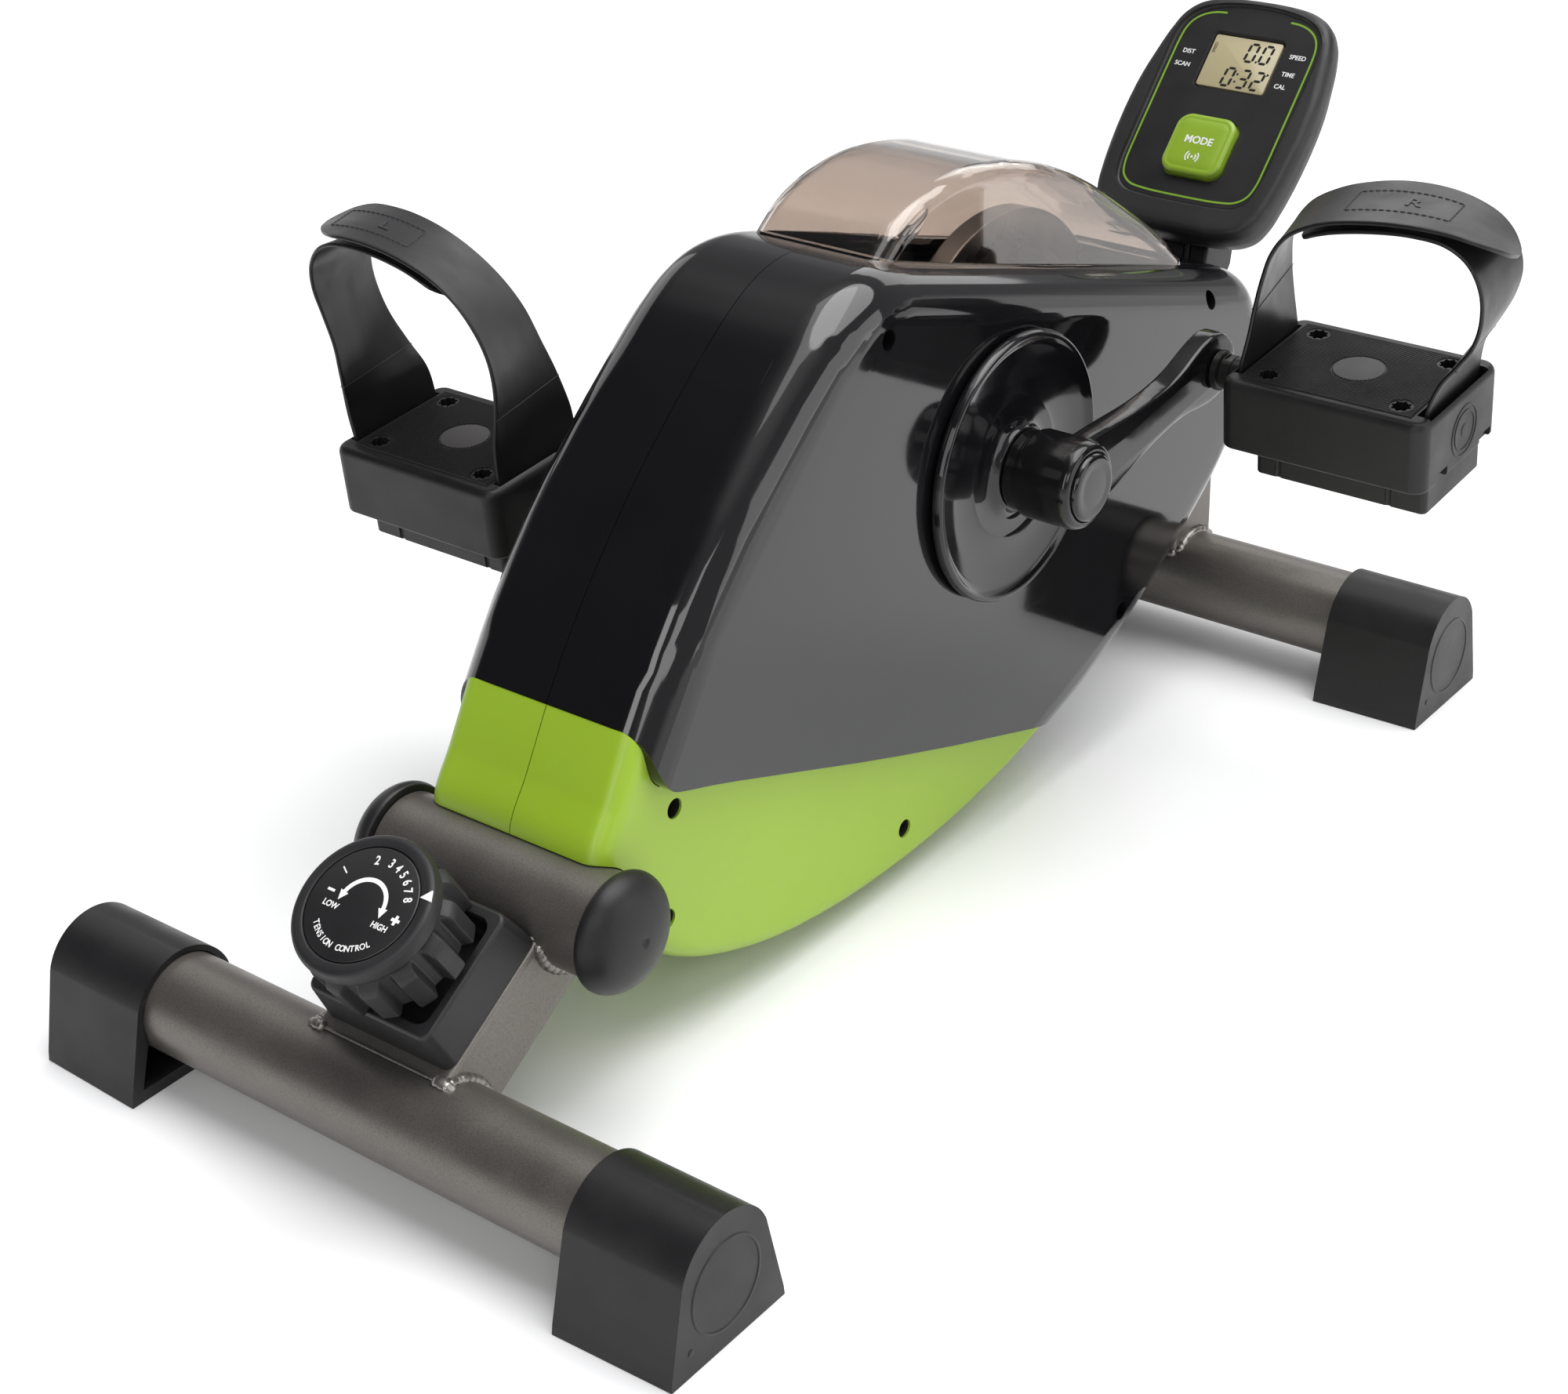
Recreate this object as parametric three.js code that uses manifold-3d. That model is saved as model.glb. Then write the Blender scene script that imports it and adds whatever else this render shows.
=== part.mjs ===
// Magnetic pedal exerciser, modelled as a bench assembly. Millimetres, +Z up.
// +X is the rider's right, +Y points away from the rider. The assembly is laid
// out from the front stabilizer axis and is centred on its own footprint at the end.
import * as THREE from 'three';
import { mergeVertices } from 'three/addons/utils/BufferGeometryUtils.js';
import Module from 'manifold-3d';

const wasm = await Module();
wasm.setup();

// ---------------------------------------------------------------- driving dimensions
const GAP = 0.3;                 // clearance kept between touching pieces
const TUBE_R = 25;               // stabilizer and cross tube radius
const TUBE_WALL = 2;
const BASE_W = 386;              // width over the foot caps
const REAR_Y = 650;              // rear stabilizer axis behind the front one
const TUBE_Z = 37.5;             // stabilizer axis height
const CAP_L = 62.6;              // foot cap length
const CAP_HALF_OUT = 36.9;       // foot half width at the closed end
const CAP_HALF_IN = 39.0;        // foot half width at the open end
const CAP_TOP_R = 28.5;
const CROSS_Y = 88, CROSS_Z = 104, CROSS_L = 126;
const NECK_W = 80, NECK_H = 39;  // neck box section
const NECK_ANG = Math.atan2(41, 66);
const NECK_Y = 3, NECK_Z = 65;   // lower front edge of the neck's top face
const BB_Y = 396.8, BB_Z = 210.75;      // crank axis
const CRANK_R = 126.4, CRANK_ANG = 0.144;
const AXLE_R = 8.5;
const FW_Y = 511, FW_Z = 195, FW_R = 96, FW_X0 = -33.2, FW_X1 = -20.2;
const PULLEY_R = 60, SMALL_R = 14, BELT_T = 2.2;
const BLACK_HALF = 62, GREEN_HALF = 53, WALL = 3;
const PEDAL_X = 187.3, PEDAL_W = 112, PEDAL_D = 82;
const PEDAL_TOP = 18.5, PEDAL_BOT = -19.5;
const CONSOLE_TILT = 45.1 * Math.PI / 180;
const CONSOLE_Y = 731, CONSOLE_Z = 333;
const KNOB_R = 34.7, KNOB_LOW = 27, KNOB_TOP = 66, KNOB_S = 38;
const BRAKE_PIV_Y = 405, BRAKE_PIV_Z = 150;

// ---------------------------------------------------------------- small toolkit
const V3 = (x, y, z) => new THREE.Vector3(x, y, z);

function solid(geo) {
  const g = geo.clone();
  for (const n of Object.keys(g.attributes)) if (n !== 'position') g.deleteAttribute(n);
  const m = mergeVertices(g, 1e-4);
  const ix = m.index.array, tri = [];
  for (let i = 0; i < ix.length; i += 3) {
    const a = ix[i], b = ix[i + 1], c = ix[i + 2];
    if (a !== b && b !== c && c !== a) tri.push(a, b, c);
  }
  return new wasm.Manifold(new wasm.Mesh({
    numProp: 3,
    vertProperties: new Float32Array(m.attributes.position.array),
    triVerts: new Uint32Array(tri),
  }));
}

function surface(man) {
  const m = man.getMesh();
  const g = new THREE.BufferGeometry();
  g.setAttribute('position', new THREE.BufferAttribute(new Float32Array(m.vertProperties), 3));
  g.setIndex(new THREE.BufferAttribute(new Uint32Array(m.triVerts), 1));
  const flat = g.toNonIndexed();
  flat.computeVertexNormals();
  return flat;
}

// profile in (y, z), extruded along x
const SWAP = new THREE.Matrix4().makeBasis(V3(0, 1, 0), V3(0, 0, 1), V3(1, 0, 0));
function ccw(pts) {
  let a = 0;
  for (let i = 0; i < pts.length; i++) {
    const [x0, y0] = pts[i], [x1, y1] = pts[(i + 1) % pts.length];
    a += x0 * y1 - x1 * y0;
  }
  return a > 0 ? pts : pts.slice().reverse();
}
function shapeOf(pts) { return new THREE.Shape(ccw(pts).map(p => new THREE.Vector2(p[0], p[1]))); }
function extrudeYZ(pts, x0, x1, bevel = 0, inset = 0, seg = 3) {
  const g = new THREE.ExtrudeGeometry(shapeOf(pts), {
    depth: x1 - x0 - 2 * bevel, steps: 1, curveSegments: 8,
    bevelEnabled: bevel > 0 || inset !== 0, bevelThickness: bevel, bevelSize: bevel,
    bevelOffset: -bevel - inset, bevelSegments: bevel > 0 ? seg : 1,
  });
  g.translate(0, 0, x0 + bevel);
  return g.applyMatrix4(SWAP);
}
// profile in (x, y), extruded along z
function extrudeXY(pts, z0, z1, bevel = 0, seg = 2) {
  const g = new THREE.ExtrudeGeometry(shapeOf(pts), {
    depth: z1 - z0 - 2 * bevel, steps: 1, curveSegments: 6,
    bevelEnabled: bevel > 0, bevelThickness: bevel, bevelSize: bevel, bevelOffset: -bevel, bevelSegments: seg,
  });
  g.translate(0, 0, z0 + bevel);
  return g;
}
// profile in (x, z), extruded along y (y0 < y1)
function extrudeXZ(pts, y0, y1) {
  const g = new THREE.ExtrudeGeometry(shapeOf(pts.map(p => [p[1], p[0]])), { depth: y1 - y0, bevelEnabled: false });
  g.translate(0, 0, y0);
  return g.applyMatrix4(new THREE.Matrix4().makeBasis(V3(0, 0, 1), V3(1, 0, 0), V3(0, 1, 0)));
}
function box(x0, x1, y0, y1, z0, z1) {
  return new THREE.BoxGeometry(x1 - x0, y1 - y0, z1 - z0).translate((x0 + x1) / 2, (y0 + y1) / 2, (z0 + z1) / 2);
}
function cylX(r, x0, x1, y, z, seg = 28) {
  return new THREE.CylinderGeometry(r, r, x1 - x0, seg).rotateZ(-Math.PI / 2).translate((x0 + x1) / 2, y, z);
}
// closed profile of [radius, x] turned about an x-parallel line through (y, z)
function latheX(prof, y, z, seg = 32) {
  const g = new THREE.LatheGeometry(prof.map(p => new THREE.Vector2(p[0], p[1])), seg);
  const s = g.rotateZ(-Math.PI / 2).translate(0, y, z);
  return s;
}
function closedLathe(prof) { return prof.concat([prof[0]]); }
function outwards(geo) {
  const p = geo.attributes.position, ix = geo.index ? geo.index.array : null;
  const n = ix ? ix.length : p.count, v = [V3(0, 0, 0), V3(0, 0, 0), V3(0, 0, 0)];
  let vol = 0;
  for (let i = 0; i < n; i += 3) {
    for (let k = 0; k < 3; k++) v[k].fromBufferAttribute(p, ix ? ix[i + k] : i + k);
    vol += v[0].dot(v[1].clone().cross(v[2]));
  }
  if (vol < 0) {
    const g = geo.index ? geo.clone() : mergeVertices(geo, 1e-4);
    const a = g.index.array;
    for (let i = 0; i < a.length; i += 3) { const t = a[i]; a[i] = a[i + 1]; a[i + 1] = t; }
    return g;
  }
  return geo;
}
function turned(prof, y, z, seg) { return solid(outwards(latheX(closedLathe(prof), y, z, seg))); }
function tube(points, r, sides = 8, steps = 40) {
  const curve = new THREE.CatmullRomCurve3(points.map(p => V3(...p)), false, 'centripetal');
  const sec = new THREE.Shape();
  for (let i = 0; i < sides; i++) {
    const a = 2 * Math.PI * i / sides;
    if (i) sec.lineTo(r * Math.cos(a), r * Math.sin(a)); else sec.moveTo(r, 0);
  }
  return outwards(new THREE.ExtrudeGeometry(sec, { steps, extrudePath: curve, bevelEnabled: false }));
}
function roundRect(w, h, r, n = 4, cx = 0, cy = 0) {
  const out = [];
  const c = [[w / 2 - r, h / 2 - r, 0], [-w / 2 + r, h / 2 - r, 90], [-w / 2 + r, -h / 2 + r, 180], [w / 2 - r, -h / 2 + r, 270]];
  for (const [x, y, a0] of c) for (let i = 0; i <= n; i++) {
    const a = (a0 + 90 * i / n) * Math.PI / 180;
    out.push([cx + x + r * Math.cos(a), cy + y + r * Math.sin(a)]);
  }
  return out;
}
const S = solid;
const cut = (a, ...b) => b.reduce((m, s) => m.subtract(s), a);
const join = (a, ...b) => b.reduce((m, s) => m.add(s), a);

const assembly = new THREE.Group();
function paint(color, roughness, metalness, extra = {}) {
  return new THREE.MeshStandardMaterial({ color, roughness, metalness, ...extra });
}
function put(name, shape, material, parent = assembly, matrix = null) {
  const geo = shape instanceof THREE.BufferGeometry ? outwards(shape) : surface(shape);
  const mesh = new THREE.Mesh(geo, material);
  mesh.name = name;
  if (matrix) { mesh.applyMatrix4(matrix); }
  parent.add(mesh);
  return mesh;
}
const TUBE_PAINT = () => paint(0x6b6660, 0.42, 0.75);
const BLACK_GLOSS = () => paint(0x0b0b0d, 0.12, 0.0);
const BLACK_SATIN = () => paint(0x1d1b1d, 0.5, 0.0);
const RUBBER = () => paint(0x232124, 0.62, 0.0);
const GREEN = () => paint(0x7fae2e, 0.38, 0.0);
const STEEL = () => paint(0x9a9a98, 0.35, 0.9);

// ---------------------------------------------------------------- stabilizers and foot caps
const TUBE_HALF = BASE_W / 2 - 4;
for (const [name, y] of [['front_stabilizer_tube', 0], ['rear_stabilizer_tube', REAR_Y]]) {
  put(name, cut(S(cylX(TUBE_R, -TUBE_HALF, TUBE_HALF, y, TUBE_Z, 32)),
    S(cylX(TUBE_R - TUBE_WALL, -TUBE_HALF - 5, TUBE_HALF + 5, y, TUBE_Z, 20))), TUBE_PAINT());
}
// arched foot: rounded top, flared sides, flat sole; open towards the middle of the tube
function footProfile(half, top, r) {
  const pts = [[half, 0], [half - 0.6, 5]];
  const a0 = 18 * Math.PI / 180;
  for (let i = 0; i <= 12; i++) {
    const a = a0 + (Math.PI - 2 * a0) * i / 12;
    pts.push([r * Math.cos(a), TUBE_Z + r * Math.sin(a) + (top - TUBE_Z - r)]);
  }
  pts.push([-half + 0.6, 5], [-half, 0]);
  return pts;
}
function footCap() {
  // built with the closed end at x = 0 and the open end at x = -CAP_L
  const outer = extrudeYZ(footProfile(CAP_HALF_OUT, 66, CAP_TOP_R), -CAP_L, 0, 1.5, 0, 2);
  const p = outer.attributes.position;
  for (let i = 0; i < p.count; i++) {
    const t = -p.getX(i) / CAP_L;
    const zf = 1 - Math.min(Math.max(p.getZ(i) / 60, 0), 1);
    p.setY(i, p.getY(i) * (1 + (CAP_HALF_IN / CAP_HALF_OUT - 1) * t * zf));
  }
  let s = S(outer);
  s = cut(s, S(cylX(TUBE_R + 2 * GAP, -CAP_L - 5, -4 + GAP, 0, TUBE_Z, 24)));
  // hollow below the tube, open at the inner end
  s = cut(s, S(extrudeYZ([[-31.5, 6], [31.5, 6], [24, 30], [-24, 30]], -CAP_L - 5, -10)));
  return s;
}
for (const [row, y] of [['front', 0], ['rear', REAR_Y]]) {
  const cap = footCap();
  put(`foot_cap_${row}_right`, cap.translate([BASE_W / 2, y, 0]), RUBBER());
  put(`foot_cap_${row}_left`, cap.mirror([1, 0, 0]).translate([-BASE_W / 2, y, 0]), RUBBER());
}

// ---------------------------------------------------------------- front frame
const D = [Math.cos(NECK_ANG), Math.sin(NECK_ANG)], N = [-Math.sin(NECK_ANG), Math.cos(NECK_ANG)];
const neckPt = (s, n) => [NECK_Y + D[0] * s + N[0] * n, NECK_Z + D[1] * s + N[1] * n];
const frontTubeClear = () => S(cylX(TUBE_R + 2 * GAP, -220, 220, 0, TUBE_Z, 32));
const crossTubeClear = (r = TUBE_R + 2 * GAP) => S(cylX(r, -90, 90, CROSS_Y, CROSS_Z, 28));
const CABLE = [[-22, ...neckPt(30, -18)], [-22, ...neckPt(48, -19)], [-23, 86, 101], [-24.5, 112, 112], [-26, 150, 118],
  [-28, 230, 116], [-30, 310, 116], [-33, 372, 121]];
const cableClear = S(tube(CABLE, 4.2, 6, 28));
{
  const outer = S(extrudeYZ([neckPt(-25, 0), neckPt(95, 0), neckPt(95, -NECK_H), neckPt(-25, -NECK_H)], -NECK_W / 2, NECK_W / 2, 3, 0, 2));
  const w = 2.5;
  const inner = S(extrudeYZ([neckPt(-40, -w), neckPt(110, -w), neckPt(110, -NECK_H + w), neckPt(-40, -NECK_H + w)], -NECK_W / 2 + w, NECK_W / 2 - w));
  const upperHalf = S(extrudeYZ([neckPt(-3, 40), neckPt(82, 40), neckPt(82, -80), neckPt(-3, -80)], -60, 60));
  let s = cut(outer, inner).intersect(upperHalf);
  s = cut(s, frontTubeClear(), crossTubeClear());
  // hole for the knob spindle
  const hole = new THREE.CylinderGeometry(10, 10, 30, 20).rotateX(Math.PI / 2).rotateX(NECK_ANG);
  hole.translate(0, ...neckPt(KNOB_S, 0));
  s = cut(s, S(hole));
  // keep the largest body only
  const parts = s.decompose().sort((a, b) => b.volume() - a.volume());
  put('neck_box_tube', parts[0], TUBE_PAINT());
}
{
  let s = cut(S(cylX(TUBE_R, -CROSS_L / 2, CROSS_L / 2, CROSS_Y, CROSS_Z, 28)),
    S(cylX(TUBE_R - TUBE_WALL, -CROSS_L, CROSS_L, CROSS_Y, CROSS_Z, 20)), cableClear);
  put('cross_tube', s, TUBE_PAINT());
  const x0 = CROSS_L / 2 + GAP;
  const dome = [[0, x0 - 10], [21.8, x0 - 10], [21.8, x0], [28.2, x0], [28.8, x0 + 2.6], [27.6, x0 + 6.8],
    [22.6, x0 + 12.4], [13.8, x0 + 16], [4, x0 + 17.4], [0, x0 + 17.4]];
  const cap = S(outwards(latheX(dome, CROSS_Y, CROSS_Z, 18)));
  put('cross_tube_cap_right', cap, RUBBER());
  put('cross_tube_cap_left', cap.mirror([1, 0, 0]), RUBBER());
}

// ---------------------------------------------------------------- spine, rear post, axle shells
const SP0 = [CROSS_Y, 101], SP1 = [REAR_Y, 133], SP_HW = 18, SP_HH = 15;
const spineZ = y => SP0[1] + (y - SP0[0]) * (SP1[1] - SP0[1]) / (SP1[0] - SP0[0]);
const POST = { x: 25, y0: 632, y1: 672, top: 152 };
const spineProfile = (e = 0, y1 = POST.y0 - GAP) => [[SP0[0], spineZ(SP0[0]) - SP_HH - e], [y1, spineZ(y1) - SP_HH - e], [y1, spineZ(y1) + SP_HH + e], [SP0[0], spineZ(SP0[0]) + SP_HH + e]];
{
  const w = 2.5;
  const inner = [[0, spineZ(0) - SP_HH + w], [900, spineZ(900) - SP_HH + w], [900, spineZ(900) + SP_HH - w], [0, spineZ(0) + SP_HH - w]];
  let s = cut(S(extrudeYZ(spineProfile(), -SP_HW, SP_HW, 2, 0, 2)), S(extrudeYZ(inner, -SP_HW + w, SP_HW - w)), crossTubeClear());
  s = s.decompose().sort((a, b) => b.volume() - a.volume())[0];
  put('spine_beam', s, TUBE_PAINT());
  const o = S(extrudeXY([[-POST.x, POST.y0], [POST.x, POST.y0], [POST.x, POST.y1], [-POST.x, POST.y1]], 30, POST.top, 0));
  const i = S(extrudeXY([[-POST.x + w, POST.y0 + w], [POST.x - w, POST.y0 + w], [POST.x - w, POST.y1 - w], [-POST.x + w, POST.y1 - w]], 20, POST.top - w));
  let p = cut(o, i, S(cylX(TUBE_R + 2 * GAP, -60, 60, REAR_Y, TUBE_Z, 32)));
  p = p.decompose().sort((a, b) => b.volume() - a.volume())[0];
  put('rear_post', p, TUBE_PAINT());
}
const spineClear = S(extrudeYZ(spineProfile(GAP, 800), -SP_HW - GAP, SP_HW + GAP));
{
  // crank bearing shell on its gusset, with the brake pivot pin
  let s = join(S(cylX(20, -19, 19, BB_Y, BB_Z, 20)), S(box(-7, 7, 384, 412, 120, BB_Z)), S(cylX(4, -44.5, -5, BRAKE_PIV_Y, BRAKE_PIV_Z, 16)));
  s = cut(s, S(cylX(16.6, -30, 30, BB_Y, BB_Z, 20)), spineClear);
  s = s.decompose().sort((a, b) => b.volume() - a.volume())[0];
  put('bottom_bracket_shell', s, TUBE_PAINT());
  put('crank_bearing_cartridge', cut(S(cylX(16, -19.5, 19.5, BB_Y, BB_Z, 20)), S(cylX(AXLE_R + GAP + 0.15, -30, 30, BB_Y, BB_Z, 16))), STEEL());
  let f = join(S(cylX(17, -18, 18, FW_Y, FW_Z, 20)), S(box(-7, 7, 499, 523, 130, FW_Z)));
  f = cut(f, S(cylX(13.6, -30, 30, FW_Y, FW_Z, 20)), spineClear);
  f = f.decompose().sort((a, b) => b.volume() - a.volume())[0];
  put('flywheel_axle_shell', f, TUBE_PAINT());
  put('flywheel_bearing_cartridge', cut(S(cylX(13, -18.5, 18.5, FW_Y, FW_Z, 20)), S(cylX(6.5, -30, 30, FW_Y, FW_Z, 14))), STEEL());
}

// ---------------------------------------------------------------- housing
function arc(cy, cz, r, a0, a1, n) {
  const out = [];
  for (let i = 0; i <= n; i++) { const a = (a0 + (a1 - a0) * i / n) * Math.PI / 180; out.push([cy + r * Math.cos(a), cz + r * Math.sin(a)]); }
  return out;
}
const OUTLINE = [
  [91.3, 129.6], [105.8, 154.8], [122.5, 183], [140, 208.8], [160.3, 233.6], [183, 258], [209.9, 283],
  [240, 307.4], [262, 322.6], [280, 331.6], [296, 335.2], [313, 335.6],
  [470, 286.9], [634, 236.2], [645, 231.5], [654, 224], [660, 214], [662, 202],
  [659, 180], [650, 153.5], [632, 128], [600, 101.5], [560, 76.5], [515, 54], [465, 34.8], [414, 21.5], [362, 14],
  [310, 12], [262, 14.6], [216, 22.2], [175, 35.4], [143, 52.4], [117, 76.5], [101, 104]];
const topZ = y => 335.6 - (y - 313) * (335.6 - 236.2) / (634 - 313);
// parting line between the black shells and the green covers, front to rear
const PART = [[70, 212], [122.0, 181.6], [124.6, 175], [126.4, 165], [129.4, 156], [133.5, 151.4], [140, 148.6], [162, 141.2], [218.8, 120.2],
  [273.7, 99.2], [346.7, 73.2], [404.2, 54.2], [442, 41.3], [490, 22.7]];
const shiftZ = (pts, d) => pts.map(([a, b]) => [a, b + d]);
const blackMask = S(extrudeYZ([...shiftZ(PART, 0.15), [800, 20], [800, 420], [70, 420]], -90, 90));
const greenMask = S(extrudeYZ([...shiftZ(PART, -0.2), [490, -20], [40, -20], [40, 212]], -90, 90));
const blackOuter = S(extrudeYZ(OUTLINE, -BLACK_HALF, BLACK_HALF, 25, 0, 3));
const blackInner0 = S(extrudeYZ(OUTLINE, -BLACK_HALF + WALL, BLACK_HALF - WALL, 21, WALL, 2));
const greenOuter = S(extrudeYZ(OUTLINE, -GREEN_HALF, GREEN_HALF, 11, 0, 2));
const greenInner = S(extrudeYZ(OUTLINE, -GREEN_HALF + WALL, GREEN_HALF - WALL, 8, WALL, 1));
// the black shells are wider than the covers, and turn in to them with a lip along the parting line
const blackInner = blackInner0.intersect(S(extrudeYZ([...shiftZ(PART, 3.15), [800, 23], [800, 420], [70, 420]], -90, 90))).add(greenInner);
const BLACK_SCREWS = [[298.5, 309], [597, 232.4], [510, 81]];
const GREEN_SCREWS = [[143.4, 135.0], [134.5, 80.5], [318.7, 35.5]];
const WIN = [[322, 331.5], [330, 338], [341, 345.5], [356, 351.5], [373, 355], [390, 356.3], [410, 355], [437, 350], [465, 341.5], [490, 330.5], [514, 317.5],
  [538, 302], [564, 284], [587, 266.5], [604, 251]];
const LEAD = [[4, 671, 243], [4, 668, 230], [6, 662, 212], [16, 648, 205], [33, 610, 212], [42, 540, 226], [43.5, 500, 236], [43.5, 470, 240]];
const leadClear = S(tube(LEAD, 2.8, 6, 24));
{
  const windowHole = S(extrudeYZ([[334, 315], [334, 400], [599, 400], [599, 225]], -36.4, 36.4));
  const frameHole = join(spineClear, S(box(-POST.x - 1, POST.x + 1, POST.y0 - 1, 700, 40, POST.top + 1)));
  const axleHole = S(cylX(20, -80, 80, BB_Y, BB_Z, 20));
  let b = blackOuter.intersect(blackMask).subtract(blackInner).subtract(windowHole).subtract(frameHole).subtract(axleHole);
  let g = greenOuter.intersect(greenMask).subtract(greenInner).subtract(crossTubeClear(TUBE_R + 0.6)).subtract(frameHole)
    .subtract(S(cylX(27.5, -90, -60, CROSS_Y, CROSS_Z, 32))).subtract(cableClear);
  // screw posts with counterbores, closed towards the inside
  const post = (y, z, half) => S(cylX(8, 8, half - 1.5, y, z, 12));
  const bore = (y, z, half) => S(cylX(5, half - 18, half + 5, y, z, 12));
  const right = S(box(0.15, 90, 0, 800, -10, 420)), left = S(box(-90, -0.15, 0, 800, -10, 420));
  const keep = m => m.decompose().sort((a, c) => c.volume() - a.volume())[0];
  let br = b.intersect(right), bl = b.intersect(left), gr = g.intersect(right), gl = g.intersect(left);
  for (const [y, z] of BLACK_SCREWS) {
    const p = post(y, z, BLACK_HALF).intersect(blackOuter);
    br = br.add(p).subtract(bore(y, z, BLACK_HALF));
    bl = bl.add(S(cylX(8, 42.5, BLACK_HALF - 1.5, y, z, 12)).intersect(blackOuter).mirror([1, 0, 0]));
  }
  for (const [y, z] of GREEN_SCREWS) {
    const p = post(y, z, GREEN_HALF).intersect(greenOuter).subtract(S(cylX(30, -90, 90, CROSS_Y, CROSS_Z, 32)));
    gr = gr.add(p).subtract(bore(y, z, GREEN_HALF));
    gl = gl.add(p.mirror([1, 0, 0]));
  }
  br = br.subtract(leadClear);
  br = keep(br);
  put('housing_right', br, BLACK_GLOSS());
  put('housing_left', keep(bl), BLACK_GLOSS());
  put('lower_cover_right', keep(gr), GREEN());
  put('lower_cover_left', keep(gl), GREEN());
  const screw = (y, z, half) => {
    const x = half - 18 + GAP;
    return cut(S(cylX(4.2, x, x + 3.2, y, z, 12)), S(box(x + 1.6, x + 5, y - 2.8, y + 2.8, z - 0.6, z + 0.6)), S(box(x + 1.6, x + 5, y - 0.6, y + 0.6, z - 2.8, z + 2.8)));
  };
  put('housing_screw_front_upper', screw(...GREEN_SCREWS[0], GREEN_HALF), STEEL());
  put('housing_screw_front_lower', screw(...GREEN_SCREWS[1], GREEN_HALF), STEEL());
  put('housing_screw_belly', screw(...GREEN_SCREWS[2], GREEN_HALF), STEEL());
  put('housing_screw_top', screw(...BLACK_SCREWS[0], BLACK_HALF), STEEL());
}
{
  const base = [[609, topZ(609) - 45], [317, topZ(317) - 45]];
  const prof = [...WIN, ...base];
  const o = S(extrudeYZ(prof, -40, 40, 10, 0, 2));
  const i = S(extrudeYZ(prof, -37.6, 37.6, 8, 2.4, 1));
  const above = S(extrudeYZ([[280, topZ(280) + GAP], [700, topZ(700) + GAP], [700, 420], [280, 420]], -80, 80));
  // skirt that drops into the opening of the shells
  const skirt = cut(S(extrudeYZ([[334.4, 312], [334.4, topZ(334.4) + 1.2], [598.6, topZ(598.6) + 1.2], [598.6, 238]], -36, 36)),
    S(extrudeYZ([[336.6, 300], [336.6, 345], [596.4, 270], [596.4, 220]], -33.8, 33.8)));
  const dome = cut(o, i).intersect(above);
  const ring = cut(S(extrudeYZ([[325, topZ(325) + GAP], [325, topZ(325) + 2], [602, topZ(602) + 2], [602, topZ(602) + GAP]], -38, 38)),
    S(extrudeYZ([[336.6, 300], [336.6, 345], [596.4, 270], [596.4, 220]], -33.8, 33.8)));
  const limit = S(extrudeYZ([[300, topZ(300) - 4.5], [700, topZ(700) - 4.5], [700, 420], [300, 420]], -80, 80));
  let s = join(dome, ring.intersect(o), skirt.intersect(limit));
  s = s.decompose().sort((a, b) => b.volume() - a.volume())[0];
  put('flywheel_window', s, paint(0x6e5b50, 0.08, 0.0, { transparent: true, opacity: 0.45 }));
}

// ---------------------------------------------------------------- flywheel group
{
  const rim = [[10, FW_X0 + 3], [20, FW_X0 + 3], [22, FW_X0 + 4.5], [76, FW_X0 + 4.5], [78, FW_X0], [FW_R - 1, FW_X0], [FW_R, FW_X0 + 1], [FW_R, FW_X1 - 1],
    [FW_R - 1, FW_X1], [78, FW_X1], [76, FW_X1 - 4.5], [22, FW_X1 - 4.5], [20, FW_X1 - 1], [10, FW_X1 - 1]];
  put('flywheel', turned(rim, FW_Y, FW_Z, 30), STEEL());
  put('flywheel_axle', join(S(cylX(6, -42, 40, FW_Y, FW_Z, 14)), S(cylX(9.6, FW_X0 + 4, FW_X1 - 2, FW_Y, FW_Z, 14))), STEEL());
  put('flywheel_pulley', turned([[6.4, 25], [SMALL_R + 1.5, 25], [SMALL_R + 1.5, 26], [SMALL_R, 26.4], [SMALL_R, 35.6], [SMALL_R + 1.5, 36], [SMALL_R + 1.5, 37], [6.4, 37]], FW_Y, FW_Z, 18), STEEL());
}
// ---------------------------------------------------------------- crank group
put('drive_pulley', turned([[AXLE_R + GAP, 23], [16, 23], [16, 29], [50, 29], [52, 25.6], [PULLEY_R + 1.2, 25.6], [PULLEY_R, 26.8], [PULLEY_R, 35.2], [PULLEY_R + 1.2, 36.4], [52, 36.4], [50, 33], [16, 33], [16, 39], [AXLE_R + GAP, 39]], BB_Y, BB_Z, 20), BLACK_SATIN());
{
  // open belt round both pulleys
  const r1 = PULLEY_R + GAP, r2 = SMALL_R + GAP, dy = FW_Y - BB_Y, dz = FW_Z - BB_Z, d = Math.hypot(dy, dz), th = Math.atan2(dz, dy), b = Math.acos((r1 - r2) / d);
  const loop = (e) => {
    const out = [];
    for (let i = 0; i <= 22; i++) { const a = th + b + (2 * Math.PI - 2 * b) * i / 22; out.push([BB_Y + (r1 + e) * Math.cos(a), BB_Z + (r1 + e) * Math.sin(a)]); }
    for (let i = 0; i <= 8; i++) { const a = th - b + 2 * b * i / 8; out.push([FW_Y + (r2 + e) * Math.cos(a), FW_Z + (r2 + e) * Math.sin(a)]); }
    return out;
  };
  put('drive_belt', cut(S(extrudeYZ(loop(BELT_T + 0.15), 27.2, 34.8)), S(extrudeYZ(loop(0.15), 20, 40))), RUBBER());
}
put('crank_axle', join(S(cylX(AXLE_R, -104, 104, BB_Y, BB_Z, 16)), S(cylX(10.5, -22.6, -20.6, BB_Y, BB_Z, 16)), S(cylX(10.5, 20.6, 22.6, BB_Y, BB_Z, 16))), STEEL());
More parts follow.
